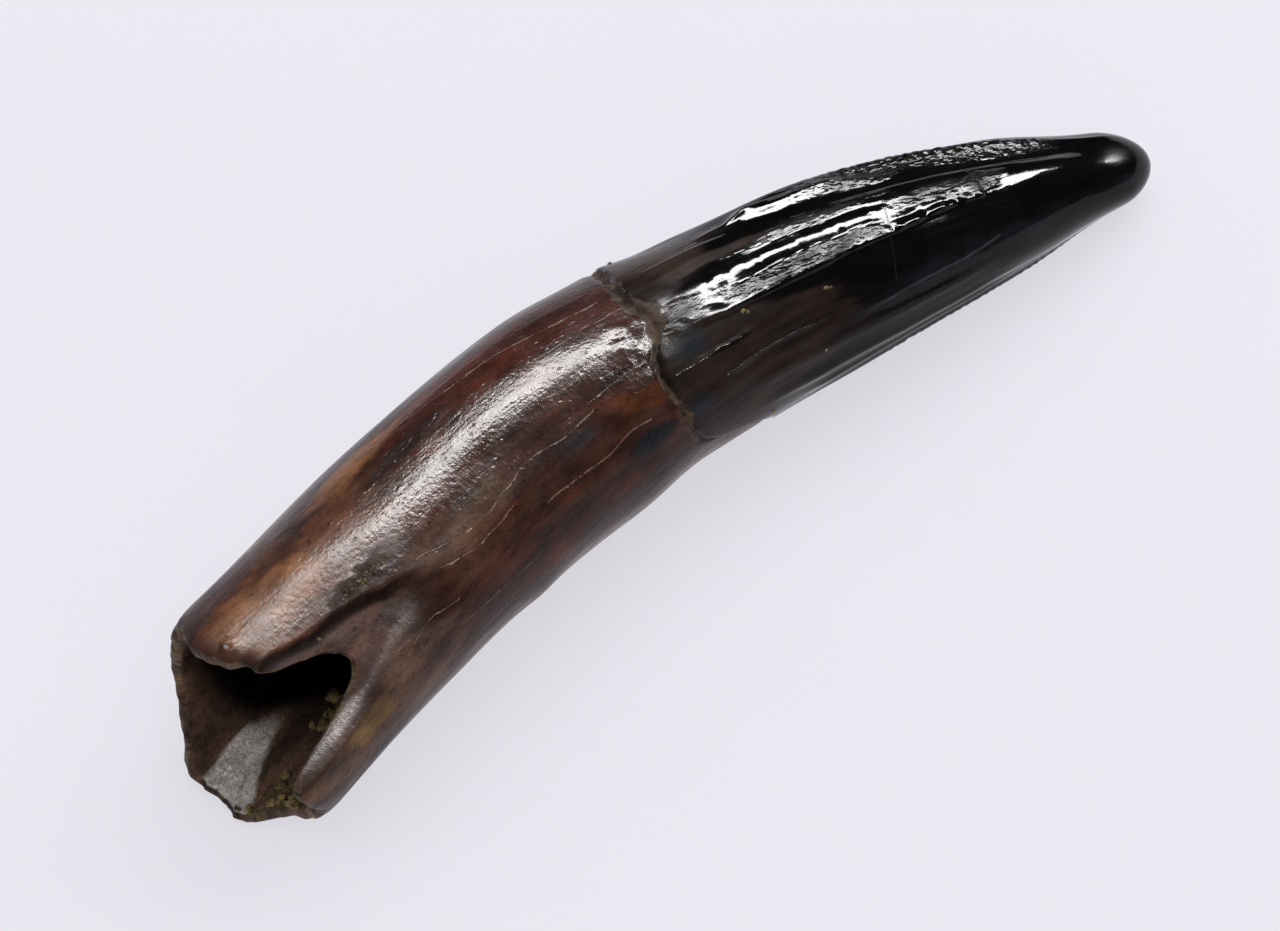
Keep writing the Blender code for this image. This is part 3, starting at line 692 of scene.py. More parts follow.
rootCracks = (
    ((7.4, 55), (8.7, 60), (10.0, 61.5), (11.1, 67), (12.0, 70), (12.9, 70)),
    ((9.4, 80), (10.1, 81), (11.3, 83), (12.1, 82), (13.2, 82)),
    ((4.9, 117), (6.8, 125), (7.7, 122.5), (8.8, 119), (9.9, 121), (10.8, 120.5)),
    ((10.8, 116), (11.8, 115), (12.7, 114)),
    ((8.5, 141.5), (9.7, 142), (10.5, 144), (11.5, 140), (12.0, 141)),
    ((4.8, 158.8), (6.2, 160.5), (7.7, 161.5)),
    ((6.5, 52), (7.6, 53.5), (9.0, 53)),
    ((5.2, 128), (6.4, 133), (7.6, 131)),
    ((3.2, 148), (4.2, 143), (5.0, 146)),
    ((10.0, 100), (10.9, 104), (11.6, 103)),
    ((6.4, 330), (9.0, 326), (12.6, 331)),
    ((4.0, 24), (7.0, 28), (11.6, 22)),
    ((7.0, 214), (10.0, 221), (12.8, 214)),
    ((8.0, 286), (12.4, 280)),
)

crownLines = (
    ((13.3, 128.5), (14.2, 128), (15.3, 128)),
    ((14.6, 143), (15.2, 141.5), (15.9, 140), (17.2, 141)),
    ((13.7, 107), (14.2, 108.5), (14.7, 110.5)),
    ((14.1, 62), (15.2, 62), (16.0, 61)),
    ((14.0, 48), (15.6, 50), (16.8, 50)),
    ((14.6, 300), (16.4, 302), (18.0, 301)),
)

crossCrack = {"path": ((84, 20.55), (92, 20.45), (104, 20.3), (118, 20.1), (142, 19.8)),
              "from": 87.0, "to": 140.0}

zoneEdge = {"cell": (0.6, 0.6, 1.5), "fade": (1.0, 0.45), "seedStep": 7}

crackWander = {
    "jitter": ((1.1, (4.0, 4.0, 0.42), 121, 1), (0.5, (4.0, 4.0, 0.15), 122, 1)),     # degrees
    "far": 0.6,                                       # mm, where no crack is near
}


def tone(red, green, blue):
    # a screen colour of 0 to 255 as the linear values that a shader takes
    value = np.array([red, green, blue]) / 255.0
    return np.where(value <= 0.04045, value / 12.92, ((value + 0.055) / 1.055) ** 2.4)


def plainTone(along, values):
    # one tone for every point
    return np.broadcast_to(tone(*values), along.shape + (3,))


def mixTones(colour, other, share):
    # the colour moved by a share, held to 0 to 1, of the way to another tone
    return toward(colour, tone(*other), np.clip(share, 0.0, 1.0)[..., None])


def mottle(colour, points, spots, share=1.0):
    # a tone laid on by the smooth step of a noise
    field = noiseAt(points, spots["noise"])
    return mixTones(colour, spots["tone"], spots["strength"] * share * smoothStep(*spots["fade"], field))


def paintZones(colour, zones, along, angle, grain, seed):
    # each zone is an oval of its own colour that fades at its outline, which noise moves about
    for number, zone in enumerate(zones):
        layer = (zone["ragged"], zoneEdge["cell"], seed + zoneEdge["seedStep"] * number, 3)
        away = awayFrom(along, angle, zone) + noiseAt(grain, layer)
        colour = mixTones(colour, zone["tone"], zone["strength"] * smoothStep(*zoneEdge["fade"], away))
    return colour


def crackLines(along, angle, grain, cracks):
    # distance in mm to the nearest crack, and the same with a sign that says on which side;
    # each crack follows its path with a jitter
    far = crackWander["far"]
    nearest, side = np.full_like(along, far), np.full_like(along, far)
    jitter = noiseAt(grain, *crackWander["jitter"])
    for path in cracks:
        aside = np.radians(turnedBy(angle, curveThrough(path, along) + jitter)) * taper(along)
        beyond = np.maximum(np.maximum(path[0][0] - along, along - path[-1][0]), 0.0)
        away = np.hypot(aside, beyond)
        side = np.where(away < nearest, np.clip(aside, -far, far), side)
        nearest = np.minimum(nearest, away)
    return np.stack([nearest, side])


def noCracks(along):
    # what crackLines gives where no crack is near
    return np.full((2, *along.shape), crackWander["far"])


def paintFill(colour, along, angle, grain):
    # the fill is 1 where the distance from the seam is within its width; the colour is laid
    # over with the sediment's tone and its shade
    width = curveThrough(matrixFill["width"], angle % 360.0)
    wide = matrixFill["wideAside"] * smoothStep(*matrixFill["wideFrom"], width)
    away = np.abs(along - enamelEdgeAt(angle) - wide) + noiseAt(grain, matrixFill["ragged"])
    low, high = matrixFill["edge"]
    fill = 1.0 - smoothStep(low * width, high * width, away)
    colour = mixTones(colour, matrixFill["tone"], fill)
    return mottle(colour, grain, matrixFill["shade"], fill), fill


def paintPit(colour, along, angle, grain):
    # the hollow round the notch: floor, its upper end, the pale band on its inner side in its own grey and
    # with a painted highlight, painted shade on the ledge's wall and in the groove at its foot, and the
    # crust on it
    pit, upper = pitShare(along, angle), smoothStep(*pitStains["upperRise"], along)
    low, high = pitStains["floorShares"]
    colour = mixTones(colour, pitStains["floor"], pit * toward(low, high, upper))
    colour = mixTones(colour, pitStains["upper"], pitStains["upperShare"] * pit * upper)
    colour = mottle(colour, grain, pitStains["shade"], pit)

    # the pale band: its own grey and a painted highlight
    above = smoothStep(*pitStains["stripWidens"], along)
    aside = turnedBy(angle, curveThrough(pitStains["stripPath"], along))
    aside = aside / toward(*pitStains["stripWidths"], above)
    paleStripAndSheen = np.exp(-aside ** 4) * toward(1.0, pitStains["stripAbove"], above)
    end = along + noiseAt(grain, pitStains["stripRagged"])
    paleStripAndSheen = paleStripAndSheen * (1.0 - smoothStep(*pitStains["stripEnd"], end))
    paleStripAndSheen = paleStripAndSheen * smoothStep(*pitStains["stripInPit"], pit)
    colour = mixTones(colour, pitStains["paleStripAndSheen"], pitStains["stripShare"] * paleStripAndSheen)

    past = angle - ledgeAt(along) + noiseAt(grain, pitStains["wallRagged"])
    wall = between(past, *pitStains["wallAcross"]) * (1.0 - smoothStep(*pitStains["wallEnd"], along))
    # painted shade: the groove at the foot of the ledge and the ledge's wall darkened to the deep tone
    ofCrevice, ofWall = pitStains["paintedShadeShares"]
    dark = np.maximum(ofCrevice * creviceShare(along, angle), ofWall * wall)
    colour = mixTones(colour, pitStains["deep"], dark)
    crust = smoothStep(*pitStains["crustFade"], noiseAt(grain, pitStains["crustNoise"]))
    crust = crust * spot(along, angle, pitStains["crustPlace"])
    return mixTones(colour, pitStains["crust"], crust), pit, paleStripAndSheen, wall, crust


def rootLooks(along, angle, grain):
    # colour, polish (the shader's roughness), grit and cracks of the root and of its hollow
    stains, feel = rootStains, rootFeel
    colour = plainTone(along, stains["plain"])
    colour = paintZones(colour, stains["zones"], along, angle, grain, stains["zoneSeed"])
    colour = mottle(colour, grain, stains["clouds"])
    colour = mottle(colour, grain, stains["streaks"], smoothStep(*stains["streaksRise"], along))
    colour = paintZones(colour, stains["inky"], along, angle, grain, stains["inkySeed"])
    fromRim = along - rimAt(angle) + noiseAt(grain, stains["lipRagged"])
    lip = (1.0 - smoothStep(*stains["lipWidth"], fromRim)) * between(angle, *stains["lipRound"])
    colour = mixTones(colour, stains["lipShade"], stains["lipShare"] * lip)
    colour, pit, paleStripAndSheen, wall, crust = paintPit(colour, along, angle, grain)
    colour, fill = paintFill(colour, along, angle, grain)

    polish = feel["polish"] + noiseAt(grain, feel["uneven"])
    polish = polish + feel["dullBase"] * (1.0 - smoothStep(*feel["dullUpTo"], along))
    polish = toward(polish, feel["pit"], np.maximum(pit, crust)) + feel["lip"] * lip
    polish = toward(polish, feel["wall"], np.maximum(wall, crust)) + feel["paleStripAndSheen"] * paleStripAndSheen
    grit = (feel["grit"] + feel["gritOfPit"] * pit + feel["gritOfStrip"] * paleStripAndSheen
            + feel["gritOfCrust"] * crust + feel["gritOfFill"] * fill)
    return colour, toward(polish, feel["fill"], fill), grit, crackLines(along, angle, grain, rootCracks)


def crownLooks(along, angle, grain):
    # near-black enamel that turns brown towards its edge, dull on the etched patches, on the
    # band beside the outer cutting edge and at the worn tip
    stains, feel = enamelStains, enamelFeel
    past = along - curveThrough(stains["brownEdge"], angle % 360.0)
    brown = 1.0 - smoothStep(*stains["brownFade"], past + noiseAt(grain, stains["brownRagged"]))
    share = brown * (stains["brownShare"] + noiseAt(grain, stains["brownStreaks"]))
    colour = mixTones(plainTone(along, stains["plain"]), stains["brown"], share)
    colour = paintZones(colour, stains["zones"], along, angle, grain, stains["zoneSeed"])
    colour, fill = paintFill(colour, along, angle, grain)

    etched = etchedShare(along, angle, grain)
    bandCrest = curveThrough(carinae["outer"], along) + feel["bandAside"]
    band = (ridgeAcross(angle, bandCrest, *feel["bandWidths"])
            * between(along, feel["bandRise"], feel["bandFade"]))
    uneven = np.clip(0.5 + noiseAt(grain, feel["uneven"]), *feel["unevenSpan"])
    polish = (feel["polish"] + feel["etched"] * etched * uneven + feel["brown"] * brown
              + feel["band"] * band + feel["tip"] * spot(along, angle, feel["tipWorn"]))
    grit = (feel["grit"] + feel["gritOfEtched"] * etched + feel["gritOfBand"] * band
            + feel["gritOfFill"] * fill)
    return colour, toward(polish, feel["fill"], fill), grit, crackLines(along, angle, grain, crownLines)


wallStains = {
    "plain": (84, 66, 54),
    "mottles": (
        {"tone": (40, 30, 25), "strength": 0.8, "fade": (-0.1, 0.6), "noise": (1.0, 0.35, 171, 3)},
        {"tone": (104, 96, 52), "strength": 0.6, "fade": (0.45, 0.75), "noise": (1.0, 0.28, 172, 3)},
        {"tone": (112, 70, 42), "strength": 0.5, "fade": (0.5, 0.8), "noise": (1.0, 0.22, 173, 3)},
    ),
    "polish": 0.55, "grit": 0.7,
}

cavityStains = {
    # the pale face's tone is its own grey and a painted highlight; deep is painted shade, near-black
    # towards the cavity's end
    "plain": (94, 71, 55), "paleFacetAndSheen": (192, 187, 178), "deep": (4, 3, 3),
    "shade": {"tone": (40, 30, 25), "strength": 0.6, "fade": (0.0, 0.6), "noise": (1.0, 0.8, 181, 3)},
    "olive": {"tone": (92, 82, 46), "strength": 0.8, "fade": (0.1, 0.6), "noise": (1.0, 0.4, 182, 3)},
    "oliveRound": (240.0, 26.0, 22.0),                # angle, and its widths before and behind
    "facetSides": (((-1.0, 256.0), (-0.5, 259.0), (1.3, 278.0), (2.4, 279.5)),
                   ((-1.0, 289.5), (0.1, 292.0), (0.87, 293.5), (1.35, 288.0), (2.4, 281.0))),
    "facetSoft": (1.5, 0.8), "facetEnd": (0.7, 2.0), "facetRagged": (1.6, 0.4, 183, 3),
    "facetShare": 0.85, "facetUneven": (0.15, 0.2, 184, 1),
    "paintedShadeFrom": ((0, 0.6), (60, 0.5), (120, 2.0), (150, 1.5), (200, 2.4), (250, 3.3), (262, 2.3),
                 (275, 1.8), (285, 1.4), (295, 0.9), (310, 0.6), (330, 0.55), (360, 0.6)),
    "paintedShadeFade": (-0.2, 0.9),
    "polish": 0.50, "polishOfFacet": -0.29, "grit": 0.50, "gritOfFacet": 0.25,
}


def wallLooks(along, angle, radius):
    # the broken wall: lumpy brown with shaded hollows and flecks of olive and rust
    turn = np.radians(angle)
    across = np.stack([radius * np.cos(turn), radius * np.sin(turn), along], -1)
    colour = plainTone(along, wallStains["plain"])
    for spots in wallStains["mottles"]:
        colour = mottle(colour, across, spots)
    return colour, wallStains["polish"], wallStains["grit"], noCracks(along)


def cavityLooks(along, angle, grain):
    # brown cavity with one grainy face on its far wall, pale in its own grey and with a painted highlight,
    # and painted shade that turns it near-black towards its end
    stains = cavityStains
    colour = mottle(plainTone(along, stains["plain"]), grain, stains["shade"])
    colour = mottle(colour, grain, stains["olive"], ridgeAcross(angle, *stains["oliveRound"]))
    low, high = [curveThrough(side, along) for side in stains["facetSides"]]
    soft, sharp = stains["facetSoft"]
    ragged = angle + noiseAt(grain, stains["facetRagged"])
    paleFacetAndSheen = (smoothStep(low - soft, low + soft, ragged)
             * (1.0 - smoothStep(high - sharp, high + sharp, angle))
             * (1.0 - smoothStep(*stains["facetEnd"], along)))
    uneven = stains["facetShare"] + noiseAt(grain, stains["facetUneven"])
    colour = mixTones(colour, stains["paleFacetAndSheen"], paleFacetAndSheen * uneven)
    # painted shade: near-black past a depth that changes round the cavity
    past = along - curveThrough(stains["paintedShadeFrom"], angle % 360.0)
    colour = mixTones(colour, stains["deep"], smoothStep(*stains["paintedShadeFade"], past))
    polish = stains["polish"] + stains["polishOfFacet"] * paleFacetAndSheen
    return colour, polish, stains["grit"] + stains["gritOfFacet"] * paleFacetAndSheen, noCracks(along)


def crossGaps(along, angle, region):
    # signed distance along from the crack that runs across the crown, 1 away from it
    past = along - curveThrough(crossCrack["path"], angle)
    here = (angle > crossCrack["from"]) & (angle < crossCrack["to"]) & (region < 1)[:, None]
    return np.where(here, np.clip(past, -1.0, 1.0), 1.0)


def closedQuads(rings, columns):
    # quads between each ring and the next, closed round the rings
    ring, column = np.meshgrid(np.arange(rings - 1), np.arange(columns), indexing="ij")
    beside = (column + 1) % columns
    return np.stack([ring * columns + column, (ring + 1) * columns + column,
                     (ring + 1) * columns + beside, ring * columns + beside], -1).reshape(-1, 4)


def endFans(rings, columns):
    # triangles from a first pole to the first ring, and from the last ring to a second pole;
    # the poles' points follow those of the rings
    here = np.arange(columns)
    beside, last, pole = (here + 1) % columns, (rings - 1) * columns, rings * columns
    first = np.stack([np.full(columns, pole), here, beside], -1)
    second = np.stack([last + here, np.full(columns, pole + 1), last + beside], -1)
    return np.concatenate([first, second])


def meshFrom(name, points, shift, quads, triangles):
    # points in mm, moved to the frame's place and put into the mesh in metres
    mesh = bpy.data.meshes.new(name)
    mesh.from_pydata(((points + shift) * mm).tolist(), [], quads.tolist() + triangles.tolist())
    return mesh


def addObject(name, data):
    added = bpy.data.objects.new(name, data)
    bpy.context.scene.collection.objects.link(added)
    return added


storedAs = {1: ("FLOAT", "value"), 3: ("FLOAT_VECTOR", "vector"), 4: ("FLOAT_COLOR", "color")}


def storeOnPoints(mesh, name, values, ofPoles):
    # one value for every point of the rings, then those of the two poles
    width = len(np.atleast_1d(ofPoles[0]))
    rows = np.concatenate([values.reshape(-1, width), np.reshape(ofPoles, (2, width))])
    kind, field = storedAs[width]
    attribute = mesh.attributes.new(name, kind, "POINT")
    attribute.data.foreach_set(field, rows.astype(np.float32).ravel())


def toothMesh():
    # a closed mesh: rings of quads, with a fan at the tip and at the end of the cavity
    rings = toothRings()
    along, angle, radius = (np.array([ring[i] for ring in rings]) for i in range(3))
    region = np.array([ring[3] for ring in rings])
    ends = np.array([toothForm["length"], pulpCavity["depth"]])
    points = place(along, angle, radius).reshape(-1, 3)
    points = np.concatenate([points, place(ends, 0.0 * ends, 0.0 * ends)])
    points[points[:, 2] < toothForm["restingBand"], 2] = 0.0
    low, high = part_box("tooth")
    shift = 0.5 * np.array([low.x + high.x, low.y + high.y, 0.0]) / mm
    shift[:2] -= 0.5 * (points.min(axis=0) + points.max(axis=0))[:2]
    mesh = meshFrom("fossilTooth", points, shift, closedQuads(*along.shape), endFans(*along.shape))
    ofQuads = np.repeat(np.where(region[:-1] == 2, 2, region[1:]), along.shape[1])
    ofFans = np.repeat([0, 3], along.shape[1])
    mesh.polygons.foreach_set("material_index", np.concatenate([ofQuads, ofFans]).astype(np.int32))
    mesh.shade_smooth()

    grain, colour = grainAt(along, angle), np.ones(along.shape + (4,))
    polish, grit, crack = np.zeros_like(along), np.zeros_like(along), np.zeros((2, *along.shape))
    for number, lookOf in enumerate((crownLooks, rootLooks, wallLooks, cavityLooks)):
        rows = region == number
        third = radius if number == 2 else grain
        looks = lookOf(along[rows], angle[rows], third[rows])
        colour[rows, :, :3], polish[rows], grit[rows], crack[:, rows] = looks
    grit, cross = np.clip(grit, 0.0, 1.0), crossGaps(along, angle, region)
    storeOnPoints(mesh, "tint", colour, (colour[0, 0], colour[-1, 0]))
    storeOnPoints(mesh, "grain", grain, [[0.0, 0.0, end] for end in ends])
    for name, values in {"polish": polish, "grit": grit}.items():
        storeOnPoints(mesh, name, values, (values[0, 0], values[-1, 0]))
    for name, values, far in (("crackNear", crack[0], crackWander["far"]),
                              ("crackSide", crack[1], crackWander["far"]), ("crossGap", cross, 1.0)):
        storeOnPoints(mesh, name, values, (far, far))
    mesh.validate()
    return mesh, shift


# What differs between the finishes. Depths are in mm, scales in cells of noise per mm.
finishes = {
    "enamel": {
        "clouds": 0.25, "cloudScale": 1.6, "flecks": 0.02, "fleckTone": (84, 62, 48),
        "crackTone": (74, 60, 50), "glints": 0.0,
        "striaScale": 7.0, "striaDepth": 0.0020, "peelScale": 5.0, "peelDepth": 0.0012,
        "poreScale": 5.0, "poreDepth": 0.0, "gritScale": 8.5, "gritDepth": 0.085,
        "gritDetail": 1.5, "gritStretch": 0.42, "roughSpread": 0.05, "dulls": (0.12, 0.40), "ior": 1.23,
    },
    "dentine": {
        "clouds": 0.45, "cloudScale": 1.5, "flecks": 0.50, "fleckTone": (26, 17, 14),
        "crackTone": (128, 96, 74), "glints": 0.45,
        "striaScale": 6.0, "striaDepth": 0.0050, "peelScale": 8.0, "peelDepth": 0.0050,
        "poreScale": 6.5, "poreDepth": 0.006, "gritScale": 12.0, "gritDepth": 0.050,
        "gritDetail": 3.0, "gritStretch": 1.0, "roughSpread": 0.10, "dulls": (0.22, 0.60), "ior": 1.23,
    },
    "brokenWall": {
        "clouds": 0.5, "cloudScale": 3.0, "flecks": 0.5, "fleckTone": (24, 18, 15),
        "crackTone": (140, 104, 78), "glints": 0.4,
        "striaScale": 6.0, "striaDepth": 0.006, "peelScale": 9.0, "peelDepth": 0.014,
        "poreScale": 8.0, "poreDepth": 0.012, "gritScale": 12.0, "gritDepth": 0.060,
        "gritDetail": 3.0, "gritStretch": 1.0, "roughSpread": 0.2, "dulls": (0.22, 0.60), "ior": 1.3,
    },
    "cavityWall": {
        "clouds": 0.45, "cloudScale": 2.0, "flecks": 0.4, "fleckTone": (32, 26, 22),
        "crackTone": (140, 104, 78), "glints": 0.4,
        "striaScale": 6.0, "striaDepth": 0.006, "peelScale": 8.0, "peelDepth": 0.010,
        "poreScale": 9.0, "poreDepth": 0.010, "gritScale": 9.0, "gritDepth": 0.060,
        "gritDetail": 3.0, "gritStretch": 1.0, "roughSpread": 0.2, "dulls": (0.22, 0.60), "ior": 1.4,
    },
}

# What every finish shares. Four numbers are a span and what it is mapped to; a stretch is the
# share by which the distance along is squeezed, which draws a pattern out lengthwise.
everyFinish = {
    "cloudStretch": 0.55, "cloudSpan": (0.30, 0.70),
    "fleckStretch": 0.6, "fleckScale": 9.0, "fleckSpan": (0.56, 0.68),
    "breakScale": 3.0, "crackReach": (0.40, 0.66, 0.007, 0.024), "crackEdge": (0.5, 1.3, 1.0, 0.0),
    "crackEnds": (0.05, 0.09, 1.0, 0.0), "crackShows": (0.38, 0.58, 0.08, 0.60),
    "crackDepth": 0.006, "crackRough": 0.15, "crossWidth": (0.008, 0.022, 1.0, 0.0),
    # painted glints: pale specks and dark specks between them, laid on the gritty places
    "paintedGlintScale": 13.0,
    "paintedGlintSpecks": (((0.52, 0.66), 0.75, 2.6), ((0.46, 0.36), 1.0, 0.35)),   # span, saturation, value
    "patchStretch": 0.5, "patchScale": 3.2, "patchSpan": (0.3, 0.7),
    "striaStretch": 0.10, "poreStretch": 0.55,
    "poreSpan": (0.05, 0.30, -1.0, 0.0), "poreWhere": (0.40, 0.60),
    "leastRough": 0.06, "shine": (0.52, 0.22),        # specular level where polished, where dull
}


def newMaterial(name):
    material = bpy.data.materials.new(name)
    material.use_nodes = True
    return material, material.node_tree, material.node_tree.nodes["Principled BSDF"]


def addNode(tree, kind, inputs=(), **fields):
    # a node with its fields set, and each input either linked or given a value
    node = tree.nodes.new(kind)
    for field, value in fields.items():
        setattr(node, field, value)
    for socket, source in dict(inputs).items():
        if isinstance(source, bpy.types.NodeSocket):
            tree.links.new(source, node.inputs[socket])
        else:
            node.inputs[socket].default_value = source
    return node


def stored(tree, attribute, output):
    return addNode(tree, "ShaderNodeAttribute", attribute_name=attribute).outputs[output]


def maths(tree, operation, first, second=0.0, third=0.0):
    return addNode(tree, "ShaderNodeMath", {0: first, 1: second, 2: third}, operation=operation).outputs[0]


def remap(tree, value, low, high, toLow=0.0, toHigh=1.0):
    # smooth step of a value from one span to another
    node = addNode(tree, "ShaderNodeMapRange", {0: value, 1: low, 2: high, 3: toLow, 4: toHigh},
                   interpolation_type="SMOOTHSTEP")
    return node.outputs[0]


def blend(tree, share, first, second):
    node = addNode(tree, "ShaderNodeMix", {0: share, 6: first, 7: second}, data_type="RGBA")
    return node.outputs[2]


def recoloured(tree, colour, saturation, value):
    # the colour with its saturation and its value multiplied
    inputs = {"Saturation": saturation, "Value": value, "Color": colour}
    return addNode(tree, "ShaderNodeHueSaturation", inputs).outputs[0]


def stretched(tree, vector, share):
    return addNode(tree, "ShaderNodeMapping", {0: vector, 3: (1.0, 1.0, share)}).outputs[0]


def noise(tree, vector, scale, detail=3.0, roughness=0.6):
    inputs = {"Vector": vector, "Scale": scale, "Detail": detail, "Roughness": roughness}
    return addNode(tree, "ShaderNodeTexNoise", inputs).outputs[0]


def rgba(values):
    return (*tone(*values), 1.0)


def crackedLine(tree, near, side, breaks):
    # 1 on a line where the signed distance passes 0, as wide as the breaks let it be, and 0
    # past the ends of its crack
    reach = remap(tree, breaks, *everyFinish["crackReach"])
    line = maths(tree, "DIVIDE", maths(tree, "ABSOLUTE", side), reach)
    line = remap(tree, line, *everyFinish["crackEdge"])
    return maths(tree, "MULTIPLY", line, remap(tree, near, *everyFinish["crackEnds"]))


def fossilColour(tree, look, grain, grit, line, breaks):
    # the stains of the mesh, with its painted shade and highlight, made lighter and darker in clouds, then
    # dark flecks
    # and cracks, then painted glints: pale specks on the gritty places and dark specks between them
    every = everyFinish
    clouds = noise(tree, stretched(tree, grain, every["cloudStretch"]), look["cloudScale"], 5.0, 0.62)
    value = remap(tree, clouds, *every["cloudSpan"], 1.0 - look["clouds"], 1.0 + look["clouds"])
    colour = recoloured(tree, stored(tree, "tint", "Color"), 1.0, value)
    specks = noise(tree, stretched(tree, grain, every["fleckStretch"]), every["fleckScale"])
    share = maths(tree, "MULTIPLY", remap(tree, specks, *every["fleckSpan"]), look["flecks"])
    colour = blend(tree, share, colour, rgba(look["fleckTone"]))
    share = maths(tree, "MULTIPLY", line, remap(tree, breaks, *every["crackShows"]))
    colour = blend(tree, share, colour, rgba(look["crackTone"]))
    paintedGlintSpecks = noise(tree, grain, every["paintedGlintScale"], 2.0)
    glints = maths(tree, "MULTIPLY", grit, look["glints"])
    for span, saturation, value in every["paintedGlintSpecks"]:
        share = maths(tree, "MULTIPLY", remap(tree, paintedGlintSpecks, *span), glints)
        colour = blend(tree, share, colour, recoloured(tree, colour, saturation, value))
    return colour


def fossilHeight(tree, look, grain, grit, cracks, patches):
    # sum of heights in mm: long grain, orange peel, pores, coarse grit, less the cracks
    every = everyFinish
    stria = noise(tree, stretched(tree, grain, every["striaStretch"]), look["striaScale"])
    height = maths(tree, "MULTIPLY", stria, look["striaDepth"] * 2)
    peel = noise(tree, grain, look["peelScale"], 2.0, 0.5)
    height = maths(tree, "MULTIPLY_ADD", peel, look["peelDepth"] * 2, height)
    inputs = {"Vector": stretched(tree, grain, every["poreStretch"]), "Scale": look["poreScale"]}
    pores = remap(tree, addNode(tree, "ShaderNodeTexVoronoi", inputs).outputs[0], *every["poreSpan"])
    pores = maths(tree, "MULTIPLY", pores, remap(tree, patches, *every["poreWhere"]))
    height = maths(tree, "MULTIPLY_ADD", pores, look["poreDepth"], height)
    coarse = noise(tree, stretched(tree, grain, look["gritStretch"]), look["gritScale"], look["gritDetail"])
    height = maths(tree, "MULTIPLY_ADD", maths(tree, "MULTIPLY", coarse, grit), look["gritDepth"], height)
    for crack in cracks:
        height = maths(tree, "MULTIPLY_ADD", crack, -every["crackDepth"], height)
    return height


def fossilFinish(name):
    # stains, painted shade and painted highlight, polish, grit and cracks come from the mesh, and
    # everything finer, painted glints too, is added here
    look, every = finishes[name], everyFinish
    material, tree, shader = newMaterial(name)
    grain = stored(tree, "grain", "Vector")
    polish, grit = stored(tree, "polish", "Fac"), stored(tree, "grit", "Fac")
    breaks = noise(tree, grain, every["breakScale"], 4.0, 0.7)
    patches = noise(tree, stretched(tree, grain, every["patchStretch"]), every["patchScale"], 4.0)
    line = crackedLine(tree, stored(tree, "crackNear", "Fac"), stored(tree, "crackSide", "Fac"), breaks)
    cross = remap(tree, maths(tree, "ABSOLUTE", stored(tree, "crossGap", "Fac")), *every["crossWidth"])
    colour = fossilColour(tree, look, grain, grit, line, breaks)
    tree.links.new(colour, shader.inputs["Base Color"])

    half = look["roughSpread"] / 2
    rough = maths(tree, "ADD", polish, remap(tree, patches, *every["patchSpan"], -half, half))
    rough = maths(tree, "MULTIPLY_ADD", line, every["crackRough"], rough)
    rough = addNode(tree, "ShaderNodeClamp", {0: rough, 1: every["leastRough"], 2: 1.0}).outputs[0]
    tree.links.new(rough, shader.inputs["Roughness"])
    # what is rough is also dull
    shine = remap(tree, polish, *look["dulls"], *every["shine"])
    tree.links.new(shine, shader.inputs["Specular IOR Level"])
    shader.inputs["IOR"].default_value = look["ior"]

    height = fossilHeight(tree, look, grain, grit, (line, cross), patches)
    bump = addNode(tree, "ShaderNodeBump", {"Strength": 1.0, "Distance": mm, "Height": height})
    tree.links.new(bump.outputs[0], shader.inputs["Normal"])
    return material


mesh, shift = toothMesh()
tooth = addObject("fossilTooth", mesh)
for name in finishes:
    mesh.materials.append(fossilFinish(name))
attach(tooth, "root")
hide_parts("tooth")
print("tooth:", len(mesh.polygons), "faces, moved by", np.round(shift, 3), "mm")


# Crumbs of hardened sediment. A cluster has a middle (along, angle), a spread in mm and
# degrees, how many crumbs, and their smallest and largest radius.
crumbs = {
    "seed": 5, "spreadLimit": 1.6, "fromRim": 0.6,
    "liftInside": 0.25, "liftOutside": -0.15,         # shares of the radius
    "clusters": (
        {"on": "cavity", "at": (2.7, 257), "spread": (0.45, 7), "count": 26, "size": (0.05, 0.15)},
        {"on": "cavity", "at": (0.0, 243), "spread": (0.40, 9), "count": 26, "size": (0.05, 0.14)},
        {"on": "cavity", "at": (-0.62, 252), "spread": (0.12, 8), "count": 10, "size": (0.05, 0.10)},
        {"on": "cavity", "at": (1.4, 232), "spread": (0.6, 8), "count": 12, "size": (0.04, 0.09)},
        {"on": "skin", "at": (3.6, 105.0), "spread": (0.45, 2.0), "count": 34, "size": (0.02, 0.055)},
        {"on": "skin", "at": (13.90, 31), "spread": (0.02, 1), "count": 2, "size": (0.07, 0.10)},
        {"on": "skin", "at": (14.35, 33), "spread": (0.02, 1), "count": 2, "size": (0.06, 0.09)},
        {"on": "skin", "at": (15.77, 116.5), "spread": (0.05, 1), "count": 3, "size": (0.03, 0.06)},
        {"on": "skin", "at": (18.05, 127.5), "spread": (0.07, 1), "count": 3, "size": (0.03, 0.06)},
        {"on": "skin", "at": (17.4, 161.5), "spread": (0.04, 1), "count": 2, "size": (0.03, 0.05)},
        {"on": "skin", "at": (15.69, 188), "spread": (0.02, 1), "count": 2, "size": (0.05, 0.07)},
        {"on": "skin", "at": (1.91, 109.5), "spread": (0.02, 0.5), "count": 1, "size": (0.05, 0.06)},
    ),
    "grid": (7, 10), "stretch": (0.7, 1.35), "flatness": 0.72, "turnedTo": (0.31, 0.52, 0.79),
    "dents": (0.38, 0.9, 191, 1), "noiseApart": 9.0,
    "tone": (134, 116, 76), "otherTone": (62, 51, 37),
    "mixScale": 4000.0, "mixSpan": (0.36, 0.64),      # scales of cells per metre
    "fineScale": 14000.0, "fineDepth": 0.012, "rough": (0.6, 0.95), "ior": 1.2,
}


